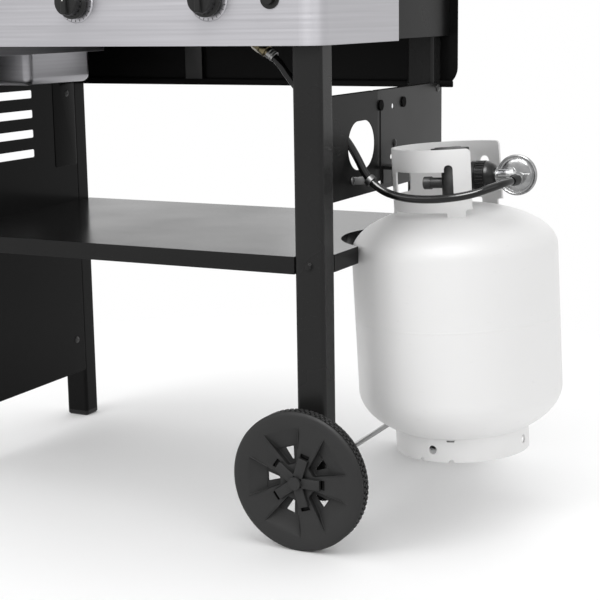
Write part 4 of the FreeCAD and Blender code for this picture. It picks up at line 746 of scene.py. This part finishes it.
# Coupling nut and regulator on the valve outlet, turned round the outlet's axis
outlet = {
    "drop": 0.0451,  # axis below the collar's top
    "nutProfile": [
        (0.0095, 0.0335), (0.0205, 0.0335), (0.0218, 0.0350), (0.0218, 0.0420), (0.0204, 0.0428),
        (0.0204, 0.0560), (0.0212, 0.0566), (0.0212, 0.0590), (0.0196, 0.0622), (0.0174, 0.0662),
        (0.0146, 0.0690), (0.0120, 0.0700), (0.0095, 0.0700),
    ],
    "nutSteps": 72,
    "ribs": 28,
    "rib": (0.0016, 0.0019, 0.0124, (0.0209, 0, 0.0494)),  # sides and place
    "ribSoft": 0.0004,
    "bodyProfile": [
        (0.0010, 0.0600), (0.0088, 0.0600), (0.0088, 0.0702), (0.0108, 0.0704), (0.0112, 0.0722),
        (0.0100, 0.0734), (0.0100, 0.0760), (0.0116, 0.0850), (0.0130, 0.0925), (0.0124, 0.0985),
        (0.0090, 0.1025), (0.0010, 0.1040),
    ],
    "bodySteps": 48,
    "webs": 8,
    "web": (0.0090, 0.0126, 0.0007, 0.0007, 0.0770, 0.0770, 0.0960),  # a wedge
    "discMiddle": 0.102,
    "discSteps": 96,
    "discProfile": [
        (0.0004, -0.0064), (0.0150, -0.0063), (0.0216, -0.0057), (0.0228, -0.0049), (0.0236, -0.0040),
        (0.0262, -0.0040), (0.0268, -0.0052), (0.0284, -0.0054), (0.0293, -0.0046), (0.0295, -0.0030),
        (0.0289, -0.0018), (0.0289, -0.0006), (0.0295, 0.0002), (0.0294, 0.0018), (0.0270, 0.0034),
        (0.0180, 0.0046), (0.0004, 0.0049),
    ],
    "socketProfile": [
        (0.0001, -0.0120), (0.0080, -0.0120), (0.0086, -0.0020), (0.0086, 0.0065), (0.0078, 0.0075),
        (0.0058, 0.0075), (0.0001, 0.0075),
    ],
    "socketSteps": 40,
    "socketReach": 0.0075,  # back from the hose's end
    "ridge": (0.026, 0.0016, 0.0016, (0.008, -0.001, -0.0068)),
    "ridgeSoft": 0.0006,
    "ventProfile": [
        (0.0001, -0.0104), (0.0030, -0.0104), (0.0034, -0.0098), (0.0034, -0.0082), (0.0042, -0.0078),
        (0.0042, -0.0050), (0.0001, -0.0050),
    ],
    "ventSteps": 20,
    "ventPlace": (0.0085, 0.0065, 0),
    "ventRibs": 14,
    "ventRib": (0.0009, 0.0008, 0.0030, (0.0042, 0, -0.0064)),
}


def onOutlet(thing):  # from the thing's own Z axis to the outlet's axis
    putInPlace(thing, (0, 0, -outlet["drop"]), (0, math.radians(90), 0))
    return onTank(thing)


def makeNut():
    nut = turnProfile("couplingNut", outlet["nutProfile"], outlet["nutSteps"], True)
    rib = slab("rib", *outlet["rib"])
    softEdges(rib, outlet["ribSoft"], 1)
    whole = joined("couplingNut", nut, ringCopies(rib, outlet["ribs"]))
    smoothed(whole, "turned")
    return dress(onOutlet(whole), "plastic", "coupling_nut", "black_plastic", "coupling_nut")


def makeRegulator():
    cone = turnProfile("regulatorBody", outlet["bodyProfile"], outlet["bodySteps"], True)
    webs = ringCopies(wedgeShape("web", *outlet["web"]), outlet["webs"])
    body = onOutlet(joined("regulatorBody", cone, webs))
    disc = turnProfile("disc", outlet["discProfile"], outlet["discSteps"])
    ridge = softEdges(slab("ridge", *outlet["ridge"]), outlet["ridgeSoft"])
    vent = turnProfile("vent", outlet["ventProfile"], outlet["ventSteps"])
    ribs = ringCopies(slab("ventRib", *outlet["ventRib"]), outlet["ventRibs"])
    vent = putInPlace(joined("vent", vent, ribs), outlet["ventPlace"])
    face = joined("disc", disc, ridge, vent)
    putInPlace(face, (outlet["discMiddle"], 0, -outlet["drop"]), (math.radians(-90), 0, 0))
    onTank(face)
    socket = turnProfile("hoseSocket", outlet["socketProfile"], outlet["socketSteps"])
    heading = (hosePoints[1] - hosePoints[0]).normalized()
    putInPlace(socket, hosePoints[0] - heading * outlet["socketReach"], along(heading))
    whole = joined("gasRegulator", body, face, socket)
    smoothed(whole, "turned")
    return dress(whole, "alloy", "cart", "cast_alloy", "regulator")


makeNut()
makeRegulator()
print("regulator made")


# Heads of the fasteners: a hexagon on a washer, and a low round head with a cross
fastener = {
    "hexagon": {"radius": 0.0054, "depth": 0.0030, "vertices": 6, "location": (0, 0, 0.0020)},
    "hexagonSoft": 0.0004,
    "washer": {"radius": 0.0065, "depth": 0.0010, "vertices": 40, "location": (0, 0, 0.0005)},
    "washerSoft": 0.0003,
    "round": [(0.0062, 0.0), (0.0062, 0.0008), (0.0054, 0.0016), (0.0036, 0.0022), (0.0001, 0.0024)],
    "roundSteps": 32,
    "slot": (0.0050, 0.0010, 0.0020, (0, 0, 0.0024)),
}


def makeBolt(name):
    head = softEdges(addShape("cylinder", name, **fastener["hexagon"]), fastener["hexagonSoft"])
    washer = softEdges(addShape("cylinder", "washer", **fastener["washer"]), fastener["washerSoft"], 1)
    return joined(name, head, washer)


def makeScrew(name):
    head = turnProfile(name, fastener["round"], fastener["roundSteps"])
    for turn in (0, 90):
        carve(head, putInPlace(slab("slot", *fastener["slot"]), (0, 0, 0), (0, 0, math.radians(turn))))
    return head


# Hose clip: a rounded band on the hose, and a tab that runs to a screw on the panel
clip = {
    "run": 7,  # the route's points on its two sides
    "share": 0.72,
    "band": [
        (0.0062, -0.0040), (0.0080, -0.0040), (0.0086, -0.0034), (0.0086, 0.0034), (0.0080, 0.0040),
        (0.0062, 0.0040),
    ],
    "steps": 40,
    "screw": (-0.1195, -0.1235),  # along Y, and below the panels' upper edge
    "tab": (0.0056, 0.0015),  # half its width, and its sheet
    "tabEnd": 0.007,  # before the hose's middle
    "tabSoft": 0.0005,
    "padSteps": 28,
    "padSoft": 0.0004,
}


def makeClip():
    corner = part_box("right_rear_panel")[1]
    first, second = hosePoints[clip["run"]], hosePoints[clip["run"] + 1]
    centre = first.lerp(second, clip["share"])
    band = turnProfile("hoseClip", clip["band"], clip["steps"], True)
    putInPlace(band, centre, along(second - first))
    half, thick = clip["tab"]
    foot = Vector((corner.x + thick, clip["screw"][0], corner.z + clip["screw"][1]))
    reach = centre - foot
    long = reach.length - clip["tabEnd"]
    arm = softEdges(slab("arm", thick, 2 * half, long, (0, 0, long / 2)), clip["tabSoft"])
    putInPlace(arm, foot, along(reach))
    pad = addShape("cylinder", "pad", radius=half, depth=thick, vertices=clip["padSteps"],
                   location=(0, 0, thick / 2))
    softEdges(pad, clip["padSoft"])
    pad = joined("pad", pad, putInPlace(makeScrew("head"), (0, 0, thick)))
    putInPlace(pad, (corner.x, foot.y, foot.z), (0, math.radians(90), 0))
    whole = joined("hoseClip", band, arm, pad)
    smoothed(whole, "turned")
    return dress(whole, "cast", "cart", "zinc_steel", "hose_clip")


makeClip()
print("clip made")


# Folded sheet: the left panel's flanges, a strip in the right seam, the apron's bracket and hem, a screw
fold = {
    "thick": 0.0010,
    # for the edges: corner, width of the rounded edge and its steps
    "flangeEnds": ((-0.193, -0.1284), (0.1284, 0.193)),  # along Y
    "flangeFoot": 0.478,
    "flangeTop": 0.700,
    "flangeEdges": (0.004, 0.0003, 2),
    "tongue": (0.0118, 0.0190, -0.0218),  # width, height and middle along Y of the strip in the seam
    "tongueEdges": (0.0012, 0.0002, 1),
    "bracket": (-0.212275, 0.0335, 0.0008),  # middle along X, width and sheet
    "bracketTop": 0.735,
    "bracketEdges": (0.0010, 0.0003, 2),
    "hemTall": 0.0105,
    "hemThick": 0.0012,
    "hemInset": 0.004,
    "hemEdges": (0.002, 0.0004, 2),
    "loneScrew": (0.0348, 0.5486),  # along Y and Z, on the right panel
}


def plate(name, wide, tall, thick, edges, place, turn=0):  # faces Y, or X when turned
    corner, soft, steps = edges
    made = softEdges(roundedBar(name, wide, tall, corner, thick / 2), soft, steps)
    return putInPlace(made, place, (0, 0, math.radians(turn)))


def makeFlanges():
    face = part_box("left_slotted_panel")[1].x
    foot, top, thick = fold["flangeFoot"], fold["flangeTop"], fold["thick"]
    plates = []
    for start, end in fold["flangeEnds"]:
        place = (face + thick / 2, (start + end) / 2, (top + foot) / 2)
        plates.append(plate("flange", end - start, top - foot, thick, fold["flangeEdges"], place, 90))
    whole = joined("leftFlanges", *plates)
    smoothed(whole, "crisp")
    # the darker copy of the black paint: painted shade
    return dress(whole, "left", "cart", "black_paint")


def makeTongue():
    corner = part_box("right_rear_panel")[1]
    wide, tall, middle = fold["tongue"]
    place = (corner.x - fold["thick"] / 2, middle, corner.z - tall / 2)
    tongue = plate("seamTongue", wide, tall, fold["thick"], fold["tongueEdges"], place, 90)
    smoothed(tongue, "crisp")
    return dress(tongue, "panel", "cart", "black_paint")


def makeBracket():
    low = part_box("rear_apron")[0]
    middle, wide, thick = fold["bracket"]
    tall = fold["bracketTop"] - low.z
    place = (middle, low.y - thick / 2, low.z + tall / 2)
    bracket = plate("apronBracket", wide, tall, thick, fold["bracketEdges"], place)
    smoothed(bracket, "crisp")
    # the lighter copy of the black paint: painted light
    return dress(bracket, "bracket", "cart", "black_paint")


def makeHem():
    low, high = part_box("rear_apron")
    wide, tall, thick = high.x - low.x - 2 * fold["hemInset"], fold["hemTall"], fold["hemThick"]
    place = ((low.x + high.x) / 2, low.y - thick / 2, low.z + tall / 2)
    hem = plate("apronHem", wide, tall, thick, fold["hemEdges"], place)
    smoothed(hem, "crisp")
    # the darker copy of the black paint: painted shade
    return dress(hem, "sheet", "cart", "black_paint")


def makeLoneScrew():
    screw = makeScrew("seamScrew")
    putInPlace(screw, (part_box("right_rear_panel")[1].x, *fold["loneScrew"]), (0, math.radians(90), 0))
    smoothed(screw, "crisp")
    return dress(screw, "frame", "cart", "zinc_steel")


makeFlanges()
makeTongue()
makeBracket()
makeHem()
makeLoneScrew()
print("folds made")


# Grease tray: pressed, with rounded corners, a bend round its foot and a rolled rim
tray = {
    "front": -0.066,  # along Y, as the rear
    "rear": 0.112,
    "corner": 0.014,
    "bend": 0.013,
    "bendSteps": 6,
    "bendAngle": 60,
    "rim": 0.004,
    "lip": 0.0018,
    "wall": 0.0010,
    "edge": 0.0003,
    "edgeAngle": 50,
}


def rolledRim(wide, long):  # out and down from the open edge
    grow = (1 + 2 * tray["rim"] / wide, 1 + 2 * tray["rim"] / long, 1)
    bpy.ops.mesh.select_all(action="DESELECT")
    bpy.ops.mesh.select_non_manifold()
    bpy.ops.mesh.extrude_region_move()
    bpy.ops.transform.resize(value=grow)
    drawOut((0, 0, -tray["lip"]))


def makeTray():
    low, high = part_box("grease_tray")
    wide = high.x - low.x - 2 * tray["rim"]
    long, tall = tray["rear"] - tray["front"], high.z - low.z
    pan = roundedBar("greaseTray", wide, long, tray["corner"], tall / 2)
    putInPlace(pan, (0, 0, 0), (math.radians(-90), 0, 0))
    editTop(pan, lambda: bpy.ops.mesh.delete(type="FACE"))
    softEdges(pan, tray["bend"], tray["bendSteps"], tray["bendAngle"])
    editAll(pan, lambda: rolledRim(wide, long))
    useModifier(pan, "SOLIDIFY", thickness=tray["wall"], offset=-1)
    softEdges(pan, tray["edge"], 1, tray["edgeAngle"])
    putInPlace(pan, ((low.x + high.x) / 2, (tray["front"] + tray["rear"]) / 2, (low.z + high.z) / 2))
    smoothed(pan, "rolled")
    return dress(pan, "tray", "grease_tray", "stainless", "grease_tray")


makeTray()
print("tray made")


# Knobs: grip with flutes and a pointer, and generic tick marks on the bezels
knob = {
    "steps": 72,
    "profile": [
        (0.0042, 0.0), (0.0232, 0.0), (0.0240, 0.0008), (0.0240, 0.0052), (0.0228, 0.0062),
        (0.0206, 0.0076), (0.0196, 0.0110), (0.0188, 0.0195), (0.0172, 0.0209), (0.0040, 0.0213),
        (0.0042, 0.0140),
    ],
    "flutes": 18,
    "flute": {"radius": 0.0022, "depth": 0.012, "vertices": 16, "location": (0.0212, 0, 0.0150)},
    "grip": (0.0118, 0.0365, 0.0075, (0, 0, 0.0231)),
    "gripTaper": (0.62, 0.90, 1),  # of its top face
    "gripSoft": 0.0014,
    "pointer": (0.0016, 0.0150, 0.0006, (0, 0.0088, 0.0269)),
    "pointerSoft": 0.0002,
    "tick": (0.0034, 0.0009, 0.0003, (0.0268, 0, 0.00005)),
    "ticks": 24,
}


def makeKnob(side):
    node = f"knob_{side}"
    low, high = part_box(node)
    turned = turnProfile(node + "_dressed", knob["profile"], knob["steps"], True)
    carve(turned, ringCopies(addShape("cylinder", "flute", **knob["flute"]), knob["flutes"]))
    grip = slab("grip", *knob["grip"])
    editTop(grip, lambda: bpy.ops.transform.resize(value=knob["gripTaper"]))
    softEdges(grip, knob["gripSoft"], 3)
    whole = joined(node + "_dressed", turned, grip)
    place = Vector(((low.x + high.x) / 2, high.y, (low.z + high.z) / 2))
    putInPlace(whole, place, (math.radians(90), 0, 0))
    smoothed(whole, "turned")
    dress(whole, "plastic", node, "black_plastic", node)
    pointer = softEdges(slab(f"knobPointer_{side}", *knob["pointer"]), knob["pointerSoft"], 1)
    putInPlace(pointer, place, (math.radians(90), 0, 0))
    dress(pointer, "ceramic", node, "ceramic")


def makeTicks(side):
    low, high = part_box(f"knob_{side}")
    ticks = ringCopies(slab(f"bezelTicks_{side}", *knob["tick"]), knob["ticks"])
    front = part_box("knob_bezels")[0].y
    putInPlace(ticks, ((low.x + high.x) / 2, front, (low.z + high.z) / 2), (math.radians(90), 0, 0))
    dress(ticks, "plastic", "cart", "black_plastic")


for side in ("left", "centre", "right"):
    makeKnob(side)
    makeTicks(side)
print("knobs made")


# Fasteners: the shaped heads in place of the plain ones
def islands(node):  # lowest and highest corner of each separate solid
    bpy.ops.object.select_all(action="DESELECT")
    copy = nodes[node].copy()
    copy.data = nodes[node].data.copy()
    copy.parent = None
    scene.collection.objects.link(copy)
    editAll(copy, lambda: weldCorners("fine"))
    useOnly(copy)
    bpy.ops.mesh.separate(type="LOOSE")
    found = []
    for part in list(bpy.context.selected_objects):
        spots = [Vector(corner.co) for corner in part.data.vertices]
        low = Vector((min(spot[i] for spot in spots) for i in range(3)))
        high = Vector((max(spot[i] for spot in spots) for i in range(3)))
        found.append((low, high))
        bpy.data.objects.remove(part)
    return sorted(found, key=lambda pair: tuple(round(value, 4) for value in pair[0]))


def placeFasteners(name, node, maker, finish, slot):
    heads = []
    for low, high in islands(node):
        size = high - low
        thin = min(range(3), key=lambda i: size[i])
        middle = (low + high) / 2
        outward = Vector((0, 0, 0))
        outward[thin] = 1.0
        if thin == 1 and middle.y < 0:
            outward[thin] = -1.0
        spot = middle.copy()
        spot[thin] = low[thin] if outward[thin] > 0 else high[thin]
        head = maker("head")
        putInPlace(head, spot, along(outward))
        heads.append(head)
    whole = joined(name, *heads)
    smoothed(whole, "crisp")
    dress(whole, finish, "cart", slot, node)


placeFasteners("frameBolts", "frame_bolts", makeBolt, "frame", "zinc_steel")
placeFasteners("panelScrews", "panel_screws", makeScrew, "bracket", "zinc_steel")
print("fasteners made")


# Finishes of the CAD nodes that stay
nodeFinish = {
    "frame": ["leg_front_left", "leg_front_right", "leg_rear_right", "top_rail_front",
              "top_rail_left", "top_rail_rear", "top_rail_right", "tank_hook"],
    # a darker copy of the black paint, painted shade on the rear left leg, right front panel, apron and
    # burner box
    "sheet": ["leg_rear_left", "right_front_panel", "rear_apron", "burner_box"],
    # a darker copy of the black paint, painted shade on the left panel
    "left": ["left_slotted_panel"],
    "panel": ["right_rear_panel"],
    "shelf": ["lower_shelf"],
    "fascia": ["control_panel", "knob_bezels"],
    "tray": ["grease_chute", "tray_runner_left", "tray_runner_right"],
    "burner": ["burner_left", "burner_centre", "burner_right", "griddle_posts"],
    "griddle": ["griddle_plate"],
    "zinc": ["axle", "axle_washers", "gas_manifold", "inlet_pipe", "valve_stem_left", "valve_stem_centre",
             "valve_stem_right"],
    "alloy": ["valve_left", "valve_centre", "valve_right"],
    "cast": ["tank_valve"],
    "brass": ["inlet_fitting"],
    "tank": ["tank_shell"],
    "wheel": ["axle_caps", "tank_handwheel"],
    "plastic": ["foot_cap_front_left", "foot_cap_rear_left", "igniter_housing",
                "igniter_button"],
    "boss": ["panel_bosses"],
    "ceramic": ["spark_electrodes"],
}
for finish, names in nodeFinish.items():
    for node in names:
        nodes[node].data.materials.clear()
        nodes[node].data.materials.append(paint[finish])
print("CAD nodes finished")


# Floor, world and lamps
studio = {
    "aim": (0, 0, 0.45),  # of every lamp
    "floorSize": 30,
    "floorRough": 0.7,
    "floorTone": 0.92,
    "floorLight": 1.02,  # its lighter patches against that
    "fadeStart": 0.45,
    "fadeEnd": 1.3,
    "worldLevel": 0.84,
    # name, place, size, power, and the kind of ray that doesn't meet it
    "lamps": [
        ("keyLamp", (-1.4, -2.9, 2.7), 1.6, 30, ""),
        ("fillLamp", (-1.9, -2.0, 0.9), 1.8, 14, "glossy"),
        ("sideLamp", (3.1, -1.2, 1.9), 2.0, 12, ""),
        ("topLamp", (0.0, 0.2, 3.0), 2.6, 20, ""),
        ("backLamp", (-0.4, 3.0, 2.2), 2.4, 18, ""),
        ("glintLamp", (0.7, -1.7, 2.5), 1.5, 170, "diffuse"),
    ],
}


def lightPath(net):  # 1 for the rays that see the backdrop itself
    total = 0
    for flag in ("Is Camera Ray", "Is Glossy Ray", "Is Transmission Ray"):
        total = net.add("LightPath", {}, (), flag) + total
    return net.add("Math", {"operation": "MINIMUM"}, (total, 1.0))


def makeFloor():
    floor = addShape("plane", "floor", size=studio["floorSize"])
    net = Finish("floorPaper")
    radial = net.add("VectorMath", {"operation": "LENGTH"}, (net.place,), "Value")
    far = net.fit(radial, studio["fadeStart"], studio["fadeEnd"])
    tone = net.noise(scale=3, detail=2)
    colour = net.blend(tone, tint(studio["floorTone"]), tint(studio["floorTone"] * studio["floorLight"]))
    net.finish(colour, studio["floorRough"])
    glow = net.add("Emission", {}, {"Color": (1, 1, 1, 1), "Strength": 1.0})
    seen = lightPath(net)
    mixed = net.add("MixShader", {}, (seen * far, Wire(net, net.shader.outputs[0]), glow))
    net.feed(net.tree.nodes["Material Output"].inputs["Surface"], mixed)
    floor.data.materials.append(net.material)


def makeWorld():
    world = bpy.data.worlds.new("studioWorld")
    scene.world = world
    net = Net(world)
    seen = lightPath(net)
    back = net.tree.nodes["Background"]
    net.feed(back.inputs["Color"], (1, 1, 1, 1))
    net.feed(back.inputs["Strength"], net.fit(seen, low=0.0, high=1.0, toLow=studio["worldLevel"]))


def makeLamps():
    for name, place, size, power, without in studio["lamps"]:
        bpy.ops.object.light_add(type="AREA", location=place)
        lamp = bpy.context.object
        lamp.name = name
        lamp.data.size = size
        lamp.data.energy = power
        if without:
            setattr(lamp, f"visible_{without}", False)
        aim = Vector(studio["aim"]) - Vector(place)
        lamp.rotation_euler = aim.to_track_quat("-Z", "Y").to_euler()


makeFloor()
makeWorld()
makeLamps()
print("studio lit")
